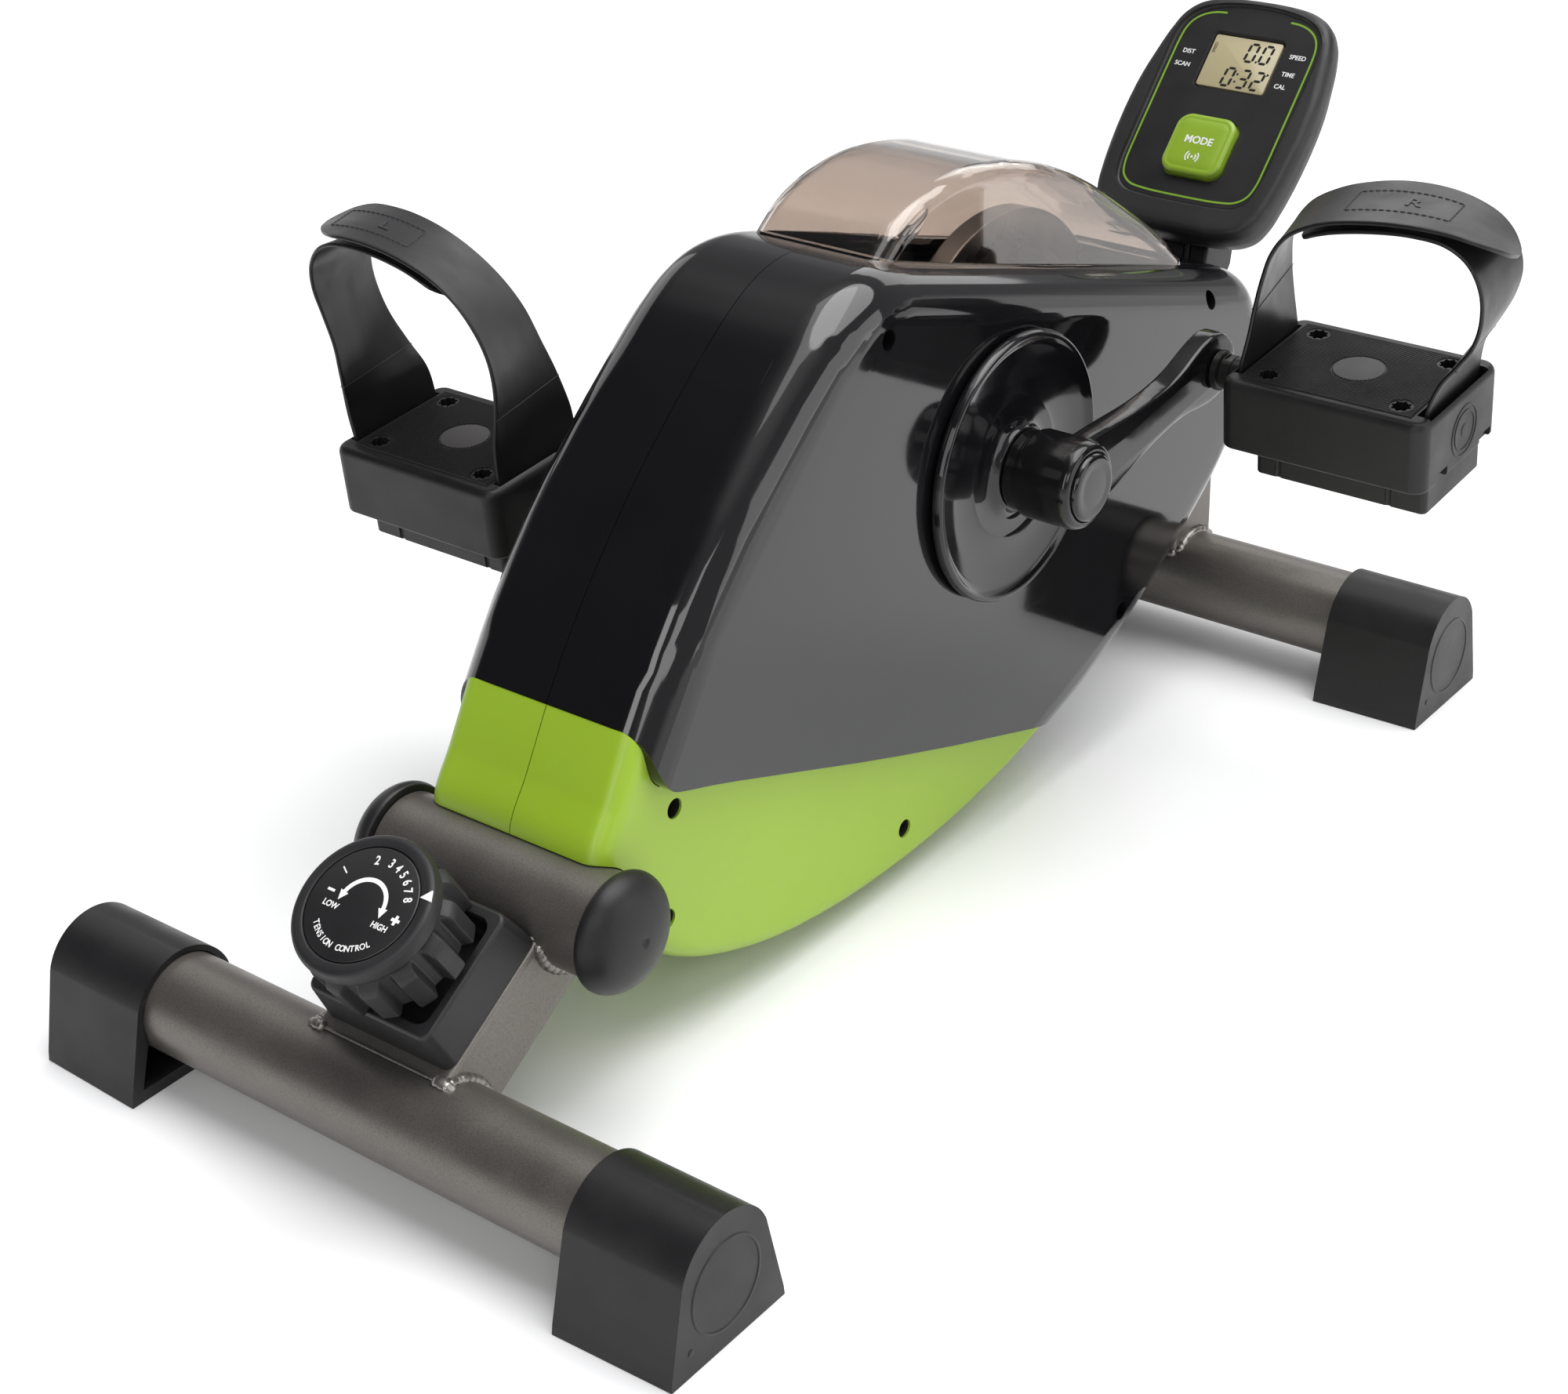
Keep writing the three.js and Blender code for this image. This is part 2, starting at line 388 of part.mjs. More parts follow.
const PR = [BB_Y + CRANK_R * Math.cos(CRANK_ANG), BB_Z + CRANK_R * Math.sin(CRANK_ANG)];
const PL = [BB_Y - CRANK_R * Math.cos(CRANK_ANG), BB_Z - CRANK_R * Math.sin(CRANK_ANG)];
function crankArm() {
  // built in the arm's own frame: bearing axis at the origin, pedal eye at +y
  const prof = [[-6, 20], [10, 21.5], [40, 17.5], [66, 12.8], [92, 12.5], [108, 16.5], [118, 18.3], ...arc(CRANK_R, 0, 18.6, 60, -60, 6), [118, -18], [106, -14.5], [92, -12], [66, -12.3], [40, -16], [12, -21], [-6, -20]];
  const arm = S(extrudeYZ(prof, 92, 107.5, 3.5, 0, 1));
  const hub = S(outwards(latheX([[0, 71.5], [20.5, 71.5], [20.5, 78], [22.5, 80], [22.5, 106], [20.5, 110], [0, 110]], 0, 0, 20)));
  let s = join(hub, arm);
  s = cut(s, S(cylX(AXLE_R + 0.5, 60, 104.5, 0, 0, 16)), S(cylX(18, 107, 120, 0, 0, 20)), S(cylX(7.5, 80, 120, CRANK_R, 0, 14)));
  return s;
}
{
  const arm = crankArm();
  const deg = CRANK_ANG * 180 / Math.PI;
  put('crank_arm_right', arm.rotate([deg, 0, 0]).translate([0, BB_Y, BB_Z]), BLACK_GLOSS());
  put('crank_arm_left', arm.mirror([1, 0, 0]).rotate([deg + 180, 0, 0]).translate([0, BB_Y, BB_Z]), BLACK_GLOSS());
  const cap = S(outwards(latheX([[0, 107.3], [17.2, 107.3], [17.4, 111], [16, 112.4], [0, 113.1]], BB_Y, BB_Z, 20)));
  put('dust_cap_right', cap, BLACK_GLOSS());
  put('dust_cap_left', cap.mirror([1, 0, 0]), BLACK_GLOSS());
  const disc = turned([[AXLE_R + GAP, 62.8], [60, 62.8], [67.2, 63.2], [69.2, 65.4], [68.6, 68.2], [66, 69.4], [62.8, 67.4],
    [44, 65.4], [27, 65.8], [20, 67.8], [19, 71.1], [AXLE_R + GAP, 71.1]], BB_Y, BB_Z, 26);
  put('crank_disc_right', disc, BLACK_GLOSS());
  put('crank_disc_left', disc.mirror([1, 0, 0]), BLACK_GLOSS());
  // spindle: threaded end in the arm eye, flange, shaft inside the pedal
  const sp = p => S(outwards(latheX([[0, 93.5], [7, 93.5], [7, 107.8], [10.5, 107.8], [10.5, 112.5], [9, 113.2], [9, 128], [6.5, 129], [6.5, 226], [0, 226]], p[0], p[1], 14)));
  put('pedal_spindle_right', sp(PR), STEEL());
  put('pedal_spindle_left', sp(PL).mirror([1, 0, 0]), STEEL());
}

// ---------------------------------------------------------------- pedals (built for the right side about the spindle)
// straps follow these centre lines, in pedal coordinates (x outwards, z up): one line for the edge nearer the
// front of the machine, one for the edge behind it, because worn straps sit a little twisted
const STRAPS = {
  right: {
    upper: [[[-50.5, 9], [-50.2, 18.5], [-49, 25], [-46, 38], [-42.5, 55], [-38.6, 70], [-33.8, 84], [-25.5, 95.5], [-8, 105.2], [16, 110.8], [40, 113.1], [60, 112.8], [75, 110.2], [89, 105.4]],
      [[-50.5, 9], [-50.6, 18.5], [-51.2, 25], [-52.5, 38], [-54, 56], [-53, 72], [-43, 87.6], [-28, 97.2], [-12, 103.2], [10, 107.8], [34, 107.6], [52, 102.4], [64, 94.5], [71, 85.5]]],
    under: [[[48.9, 9], [51, 20], [56.5, 35], [65, 47], [72, 58], [75.5, 72], [74.5, 88], [68, 100.5], [57, 107.2], [40, 108.8], [18, 106.6], [-4, 101.8], [-16, 97.2], [-22, 93.6]],
      [[48.9, 9], [49.6, 20], [52.5, 36], [60, 50], [66.5, 64], [69, 76], [67, 85], [61, 91.6], [51, 97.4], [36, 102.4], [14, 103.2], [-8, 99.6], [-22, 94.2], [-28, 90.6]]],
  },
  left: {
    upper: [[[-50.5, 9], [-50.1, 18.5], [-49.7, 25], [-49.8, 38], [-54, 56], [-56, 70], [-55.2, 85], [-50.2, 98.6], [-40, 112.5], [-26, 122.2], [-6, 129.2], [14, 132.6], [32, 133.2], [48, 131.5], [60, 128.5]],
      [[-50.5, 9], [-50.3, 18.5], [-50.2, 25], [-49.5, 38], [-43.5, 54], [-36, 68], [-25.5, 86], [-9, 101], [16, 114.5], [42, 121.2], [66, 121.8], [80, 119.5], [88, 116.8]]],
    under: [[[48.9, 9], [50.5, 20], [54.5, 36], [54.9, 53], [55.2, 68.7], [58.6, 85.2], [61.8, 100], [60.5, 112], [54.5, 121.5], [46.5, 126.4], [34, 128.7], [14, 128.2], [-6, 124.6], [-20, 119.6], [-28, 115.6]],
      [[48.9, 9], [49.4, 20], [51.5, 36], [62, 48], [72, 60], [78, 72], [81, 84], [80.5, 94], [76.5, 104], [68.5, 112], [56, 116.4], [40, 116.4], [18, 110.8], [-4, 99.2], [-14, 91.4], [-20, 84.8]]],
  },
};
const STRAP_TIP_X = 86.5;
function ribbon(line, t) {
  const c = new THREE.CatmullRomCurve3(line.map(p => V3(p[0], 0, p[1])), false, 'centripetal');
  const n = 20, a = [], b = [];
  for (let i = 0; i <= n; i++) {
    const p = c.getPointAt(i / n), q = c.getTangentAt(i / n);
    a.push([p.x - q.z * t / 2, p.z + q.x * t / 2]);
    b.push([p.x + q.z * t / 2, p.z - q.x * t / 2]);
  }
  return a.concat(b.reverse());
}
// a band between its two edge lines
function band([front, rear], t, hw) {
  const f = ribbon(front, t), r = ribbon(rear, t), m = f.map((p, i) => [(p[0] + r[i][0]) / 2, (p[1] + r[i][1]) / 2]);
  return S(extrudeXZ(m, -hw, hw)).warp(v => {
    let k = 0, best = 1e9;
    for (let i = 0; i < m.length; i++) {
      const d = (m[i][0] - v[0]) ** 2 + (m[i][1] - v[2]) ** 2;
      if (d < best) { best = d; k = i; }
    }
    const e = v[1] < 0 ? f[k] : r[k];
    v[0] = e[0];
    v[2] = e[1];
  });
}
const STRAP_T = 2.4, STRAP_HW = 30;
function pedalPieces() {
  const body0 = extrudeXY(roundRect(PEDAL_W, PEDAL_D, 7, 4), PEDAL_BOT, PEDAL_TOP, 4, 2);
  let body = S(body0);
  for (const x of [-50.5, 49.2]) body = body.subtract(S(box(x - 2.4, x + 2.4, -STRAP_HW - 0.8, STRAP_HW + 0.8, 7.6, 40)));
  // the slot on the outer side leans with the strap
  body = body.subtract(S(extrudeXZ([[46, 10], [52, 10], [56, 22], [48, 22]], -STRAP_HW - 0.8, STRAP_HW + 0.8)));
  body = body.subtract(S(cylX(9.7, -70, -55, 0, 0, 14))).subtract(S(cylX(7.1, -70, 40, 0, 0, 14)));
  const block = S(extrudeXY(roundRect(94, 60, 3, 2, 4, 4), PEDAL_BOT - 18.5, PEDAL_BOT - GAP, 1.5, 1));
  return { body, block };
}
{
  const { body, block } = pedalPieces();
  const pitchR = -5.0, pitchL = -4.6;
  const place = (m, side) => side > 0
    ? m.rotate([-pitchR, 0, 0]).translate([PEDAL_X, PR[0], PR[1]])
    : m.mirror([1, 0, 0]).rotate([-pitchL, 0, 0]).translate([-PEDAL_X, PL[0], PL[1]]);
  for (const [side, tag] of [[1, 'right'], [-1, 'left']]) {
    put(`pedal_body_${tag}`, place(body, side), BLACK_SATIN());
    put(`pedal_block_${tag}`, place(block, side), BLACK_SATIN());
    const upper = band(STRAPS[tag].upper, STRAP_T, STRAP_HW).intersect(S(box(-90, STRAP_TIP_X, -50, 50, 0, 200)));
    put(`strap_upper_${tag}`, place(upper, side), RUBBER());
    put(`strap_under_${tag}`, place(band(STRAPS[tag].under, STRAP_T, STRAP_HW), side), RUBBER());
  }
}

// ---------------------------------------------------------------- magnet brake
{
  const a = [];
  const pol = (r, t) => [FW_Y + r * Math.cos(t * Math.PI / 180), FW_Z + r * Math.sin(t * Math.PI / 180)];
  for (let i = 0; i <= 9; i++) a.push(pol(98.6, 206 + 62 * i / 9));
  for (let i = 9; i >= 0; i--) a.push(pol(106, 206 + 62 * i / 9));
  let s = S(extrudeYZ(a, -41, -19.8));
  s = join(s, S(cylX(8.5, -41, -30, BRAKE_PIV_Y, BRAKE_PIV_Z, 20)), S(extrudeYZ([[398, 147], [408, 157], [424, 150], [420, 128], [409, 141]], -41, -31)),
    S(extrudeYZ([[403, 144], [398, 152], [379, 133], [384, 127]], -38, -33)));
  s = cut(s, S(cylX(4.4, -60, -20, BRAKE_PIV_Y, BRAKE_PIV_Z, 16)), S(cylX(FW_R + 1.9, -60, -10, FW_Y, FW_Z, 48)));
  s = s.decompose().sort((x, y) => y.volume() - x.volume())[0];
  put('magnet_bracket', s, STEEL());
  // torsion return spring round the pivot pin
  const pts = [];
  for (let i = 0; i <= 36; i++) { const t = i / 36, w = t * 3.5 * 2 * Math.PI; pts.push([-27.5 + 13 * t, BRAKE_PIV_Y + 6.4 * Math.cos(w), BRAKE_PIV_Z + 6.4 * Math.sin(w)]); }
  put('brake_return_spring', tube(pts, 0.8, 4, 36), STEEL());
  put('tension_cable', tube(CABLE, 2.2, 6, 22), RUBBER());
}

// ---------------------------------------------------------------- tension control on the neck (x, s, n frame)
const neckFrame = new THREE.Matrix4().makeBasis(V3(1, 0, 0), V3(0, D[0], D[1]), V3(0, N[0], N[1])).setPosition(0, NECK_Y, NECK_Z);
const knobGroup = new THREE.Group();
knobGroup.applyMatrix4(neckFrame);
assembly.add(knobGroup);
{
  const lower = roundRect(77, 70, 4, 2, 0, 37.5);
  let b = S(extrudeXY(lower, GAP, 24, 0));
  // drafted sides
  b = b.warp(v => { const t = Math.max(0, v[2] - GAP) / 24; v[0] *= 1 - 0.06 * t; v[1] = 37.5 + (v[1] - 37.5) * (1 - 0.07 * t); });
  b = b.subtract(S(extrudeXY(roundRect(61, 53, 5, 3, 0, 37.5), 9, 40, 0)));
  b = b.subtract(S(new THREE.CylinderGeometry(9.5, 9.5, 40, 20).rotateX(Math.PI / 2).translate(0, KNOB_S, 0)));
  b = cut(b, S(cylX(TUBE_R + 0.6, -90, 90, 0, TUBE_Z, 40)).transform([...neckInverse()]), S(cylX(TUBE_R + 0.6, -90, 90, CROSS_Y, CROSS_Z, 40)).transform([...neckInverse()]));
  put('knob_bezel', b, BLACK_SATIN(), knobGroup);
  const axisZ = (r, z0, z1, seg = 32) => S(new THREE.CylinderGeometry(r, r, z1 - z0, seg).rotateX(Math.PI / 2).translate(0, KNOB_S, (z0 + z1) / 2));
  let k = S(new THREE.LatheGeometry([[0, 12], [7.5, 12], [7.5, KNOB_LOW], [31.8, KNOB_LOW], [33.4, KNOB_LOW + 6], [33.4, 56], [KNOB_R, 58], [KNOB_R, 63.5], [32.8, KNOB_TOP], [0, KNOB_TOP]]
    .map(p => new THREE.Vector2(p[0], p[1])), 22).rotateX(Math.PI / 2).translate(0, KNOB_S, 0));
  for (let i = 0; i < 12; i++) {
    const a = i * Math.PI / 6;
    k = k.add(S(new THREE.CylinderGeometry(3.2, 3.6, 27, 5).rotateX(Math.PI / 2).translate(32.2 * Math.cos(a), KNOB_S + 32.2 * Math.sin(a), KNOB_LOW + 14)));
  }
  k = k.subtract(axisZ(27.9, KNOB_TOP - 1.6, KNOB_TOP + 3)).subtract(axisZ(3.5, 5, 80, 10));
  put('tension_knob', k, BLACK_SATIN(), knobGroup);
  put('knob_dial_plate', axisZ(27.4, KNOB_TOP - 1.3, KNOB_TOP - 0.3, 32).add(axisZ(3, 6, KNOB_TOP - 1, 10)), BLACK_SATIN(), knobGroup);
}
function neckInverse() {
  return neckFrame.clone().invert().elements;
}

// ---------------------------------------------------------------- console (x, v, n frame: v up the face, n towards the rider)
const CV = [Math.sin(CONSOLE_TILT), Math.cos(CONSOLE_TILT)], CN = [-Math.cos(CONSOLE_TILT), Math.sin(CONSOLE_TILT)];
const conFrame = new THREE.Matrix4().makeBasis(V3(1, 0, 0), V3(0, CV[0], CV[1]), V3(0, CN[0], CN[1])).setPosition(0, CONSOLE_Y, CONSOLE_Z);
const con = new THREE.Group();
con.applyMatrix4(conFrame);
assembly.add(con);
// rounded outline, a little wider at mid height
const CON_OUT = [[0, 29], [18, 28.4], [31, 26.4], [41.2, 21.8], [48.2, 14], [52.2, 3], [55.4, -12], [58.2, -30], [59.2, -48], [58.8, -68], [57, -88], [54.4, -102], [49.8, -111.5], [41, -117.6], [28, -120.2], [14, -121], [0, -121.2]];
const conOutline = [...CON_OUT, ...CON_OUT.slice(1, -1).reverse().map(([a, b]) => [-a, b])];
const scaleAbout = (pts, k, cx, cy) => pts.map(([a, b]) => [cx + (a - cx) * k, cy + (b - cy) * k]);
function conShell(z0, z1, bevelTop) {
  // loft by bevelled extrusion; the free side is rounded, the parting side stays flat
  const g = new THREE.ExtrudeGeometry(shapeOf(conOutline), { depth: 0.01, steps: 1, bevelEnabled: true, bevelThickness: Math.abs(z1 - z0), bevelSize: bevelTop, bevelOffset: -bevelTop, bevelSegments: 3 });
  let s = S(g);
  const half = S(box(-100, 100, -200, 100, z1 > z0 ? 0 : -100, z1 > z0 ? 100 : 0));
  return s.intersect(half).translate([0, 0, z0]);
}
{
  const frontZ = -12, backZ = -26;
  // front shell
  let f = conShell(frontZ + 0.15, 0, 7);
  const inF = S(extrudeXY(scaleAbout(conOutline, 0.90, 0, -46), -40, -3.2, 0));
  f = f.subtract(inF);
  f = f.subtract(S(extrudeXY(roundRect(44, 34, 2, 2, 0, -12.8), -20, 10, 0)));
  f = f.subtract(S(extrudeXY(roundRect(38.4, 38, 8, 3, 0, -68.2), -20, 10, 0)));
  put('console_front_shell', f, BLACK_SATIN(), con);
  let b = conShell(frontZ - 0.15, backZ, 9);
  b = b.subtract(S(extrudeXY(scaleAbout(conOutline, 0.86, 0, -46), backZ + 3, 40, 0)));
  b = b.subtract(S(extrudeXY(roundRect(44.8, 30.8, 2, 2, 0, -25), -60, 0, 0)));
  b = b.subtract(leadClear.transform(conFrame.clone().multiply(new THREE.Matrix4()).invert().elements));
  put('console_back_shell', b, BLACK_SATIN(), con);
  put('battery_door', S(extrudeXY(roundRect(44, 30, 2, 2, 0, -25), -25.8, -23.6, 0)), BLACK_SATIN(), con);
  const mod = join(S(box(-25, 25, -34, 8, -8.5, -4.0)), S(box(-22.5, 22.5, -84, -30, -9.9, -8.2)));
  put('display_module', mod, paint(0xa59b78, 0.3, 0.0), con);
  const btn = join(S(extrudeXY(roundRect(37.4, 37, 7.6, 4, 0, -68.2), -3.0, 2.6, 1.6, 2)), S(extrudeXY(roundRect(42, 42, 8, 3, 0, -68.2), -6.0, -4.8, 0)), S(extrudeXY(roundRect(30, 30, 6, 3, 0, -68.2), -5.5, -1, 0)));
  put('mode_button', btn, GREEN(), con);
  // bracket behind the console, bolted on the rear wall of the housing
  const back = (v, n) => [CONSOLE_Y + CV[0] * v + CN[0] * n, CONSOLE_Z + CV[1] * v + CN[1] * n];
  const prof = [[664.2, 186], [671, 184], [696, 214], back(-58, backZ - GAP), back(-98, backZ - GAP), [668, 232], [663.6, 215]];
  let br = S(extrudeYZ(prof, -17, 17, 1.5, 0, 1));
  br = cut(br, leadClear, S(extrudeYZ(OUTLINE, -60, 60, 0, -0.3, 1)));
  br = br.decompose().sort((x, y) => y.volume() - x.volume())[0];
  put('console_bracket', br, BLACK_SATIN());
  put('speed_sensor_lead', join(S(tube(LEAD, 1.5, 6, 20)), S(box(40.2, 46.8, 462, 474, 235, 245))), RUBBER());
}

// ---------------------------------------------------------------- centre the footprint on the origin
assembly.updateMatrixWorld(true);
const bounds = new THREE.Box3().setFromObject(assembly, true);
const root = new THREE.Group();
assembly.position.set(-(bounds.min.x + bounds.max.x) / 2, -(bounds.min.y + bounds.max.y) / 2, -bounds.min.z);
root.add(assembly);
root.updateMatrixWorld(true);

export default root;
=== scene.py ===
import bpy, bmesh, math, random
from mathutils import Vector, Matrix, noise


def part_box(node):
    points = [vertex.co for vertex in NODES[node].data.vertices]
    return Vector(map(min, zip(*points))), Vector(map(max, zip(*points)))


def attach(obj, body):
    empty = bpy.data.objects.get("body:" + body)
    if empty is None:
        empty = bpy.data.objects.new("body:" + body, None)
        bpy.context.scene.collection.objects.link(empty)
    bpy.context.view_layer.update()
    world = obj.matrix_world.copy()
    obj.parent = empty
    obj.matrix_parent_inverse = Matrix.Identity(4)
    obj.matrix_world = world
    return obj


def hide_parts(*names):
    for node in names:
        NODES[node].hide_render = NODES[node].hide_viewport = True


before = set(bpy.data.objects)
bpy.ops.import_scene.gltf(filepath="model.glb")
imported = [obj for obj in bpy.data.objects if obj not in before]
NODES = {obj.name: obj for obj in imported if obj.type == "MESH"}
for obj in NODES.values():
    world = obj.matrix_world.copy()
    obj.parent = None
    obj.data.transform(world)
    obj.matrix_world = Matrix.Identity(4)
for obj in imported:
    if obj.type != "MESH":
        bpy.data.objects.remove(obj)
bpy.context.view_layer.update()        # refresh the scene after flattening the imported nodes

scene = bpy.context.scene
ROOT, CRANK, FLY, PED_R, PED_L, KNOB, BRAKE, BUTTON = ("frame_and_housing", "crank", "flywheel_group",
    "right_pedal", "left_pedal", "knob", "brake", "button")
_lo, _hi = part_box("front_stabilizer_tube")
SHY = (_lo[1] + _hi[1]) / 2 * 1000.0        # layout y = 0 is the front stabilizer's axis
TO_ROW = Matrix.Translation((0, SHY / 1000.0, 0)) @ Matrix.Scale(0.001, 4)
rnd = random.Random(7)

# ------------------------------------------------------------------ camera (first, because everything is judged from it)
cam_data = bpy.data.cameras.new("camera")
cam = bpy.data.objects.new("camera", cam_data)
scene.collection.objects.link(cam)
RIGHT = Vector((0.79089437, 0.61119101, -0.0305228))
UP = Vector((-0.27513029, 0.39969125, 0.87438563))
BACK = Vector((0.54661633, -0.68314892, 0.48427072))
CAM_AT = Vector((0.75724025, (-654.67501 + SHY) / 1000.0, 0.77896391))
m = Matrix.Identity(4)
for i in range(3):
    m[i][0], m[i][1], m[i][2], m[i][3] = RIGHT[i], UP[i], BACK[i], CAM_AT[i]
cam.matrix_world = m
cam_data.sensor_width = 36.0
cam_data.lens = 36.0 * 3538.75 / 2000.0
cam_data.shift_x = -1.65 / 2000.0
cam_data.shift_y = -1.07 / 2000.0
cam_data.clip_start = 0.01
cam_data.clip_end = 30.0
cam_data.dof.use_dof = False
scene.camera = cam

# ------------------------------------------------------------------ driving sizes (mm)
TUBE_R, TUBE_Z, REAR_Y, BASE_W = 25.0, 37.5, 650.0, 386.0
CROSS_Y, CROSS_Z, CROSS_L = 88.0, 104.0, 126.0
NECK_W, NECK_H, NECK_Y, NECK_Z = 80.0, 39.0, 3.0, 65.0
NECK_ANG = math.atan2(41, 66)
BB_Y, BB_Z, CRANK_R, CRANK_ANG = 396.8, 210.75, 126.4, 0.144
FW_Y, FW_Z, FW_R, FW_X0, FW_X1 = 511.0, 195.0, 96.0, -33.2, -20.2
BLACK_HALF, GREEN_HALF, WALL = 62.0, 53.0, 3.0
PEDAL_X, PEDAL_W, PEDAL_D, PEDAL_TOP, PEDAL_BOT = 187.3, 112.0, 82.0, 18.5, -19.5
CON_T, CON_Y, CON_Z = math.radians(45.1), 731.0, 333.0
KNOB_S = 38.0

ND = (math.cos(NECK_ANG), math.sin(NECK_ANG))
NN = (-math.sin(NECK_ANG), math.cos(NECK_ANG))
CV = (math.sin(CON_T), math.cos(CON_T))
CN = (-math.cos(CON_T), math.sin(CON_T))


def basis(o, x, y, z):
    r = Matrix.Identity(4)
    for i in range(3):
        r[i][0], r[i][1], r[i][2], r[i][3] = x[i], y[i], z[i], o[i]
    return r


NECK_F = basis((0, NECK_Y, NECK_Z), (1, 0, 0), (0, ND[0], ND[1]), (0, NN[0], NN[1]))
CON_F = basis((0, CON_Y, CON_Z), (1, 0, 0), (0, CV[0], CV[1]), (0, CN[0], CN[1]))
PR = (BB_Y + CRANK_R * math.cos(CRANK_ANG), BB_Z + CRANK_R * math.sin(CRANK_ANG))
PL = (BB_Y - CRANK_R * math.cos(CRANK_ANG), BB_Z - CRANK_R * math.sin(CRANK_ANG))
PED_R_F = Matrix.Translation((PEDAL_X, PR[0], PR[1])) @ Matrix.Rotation(math.radians(5.0), 4, "X")
PED_L_F = Matrix.Translation((-PEDAL_X, PL[0], PL[1])) @ Matrix.Rotation(math.radians(4.6), 4, "X") @ Matrix.Scale(-1, 4, (1, 0, 0))
MIRX = Matrix.Scale(-1, 4, (1, 0, 0))


def neck_pt(s, n):
    return (NECK_Y + ND[0] * s + NN[0] * n, NECK_Z + ND[1] * s + NN[1] * n)


# ------------------------------------------------------------------ materials
def _node(nt, kind, x=0, y=0, **kw):
    n = nt.nodes.new(kind)
    n.location = (x, y)
    for k, v in kw.items():
        setattr(n, k, v)
    return n


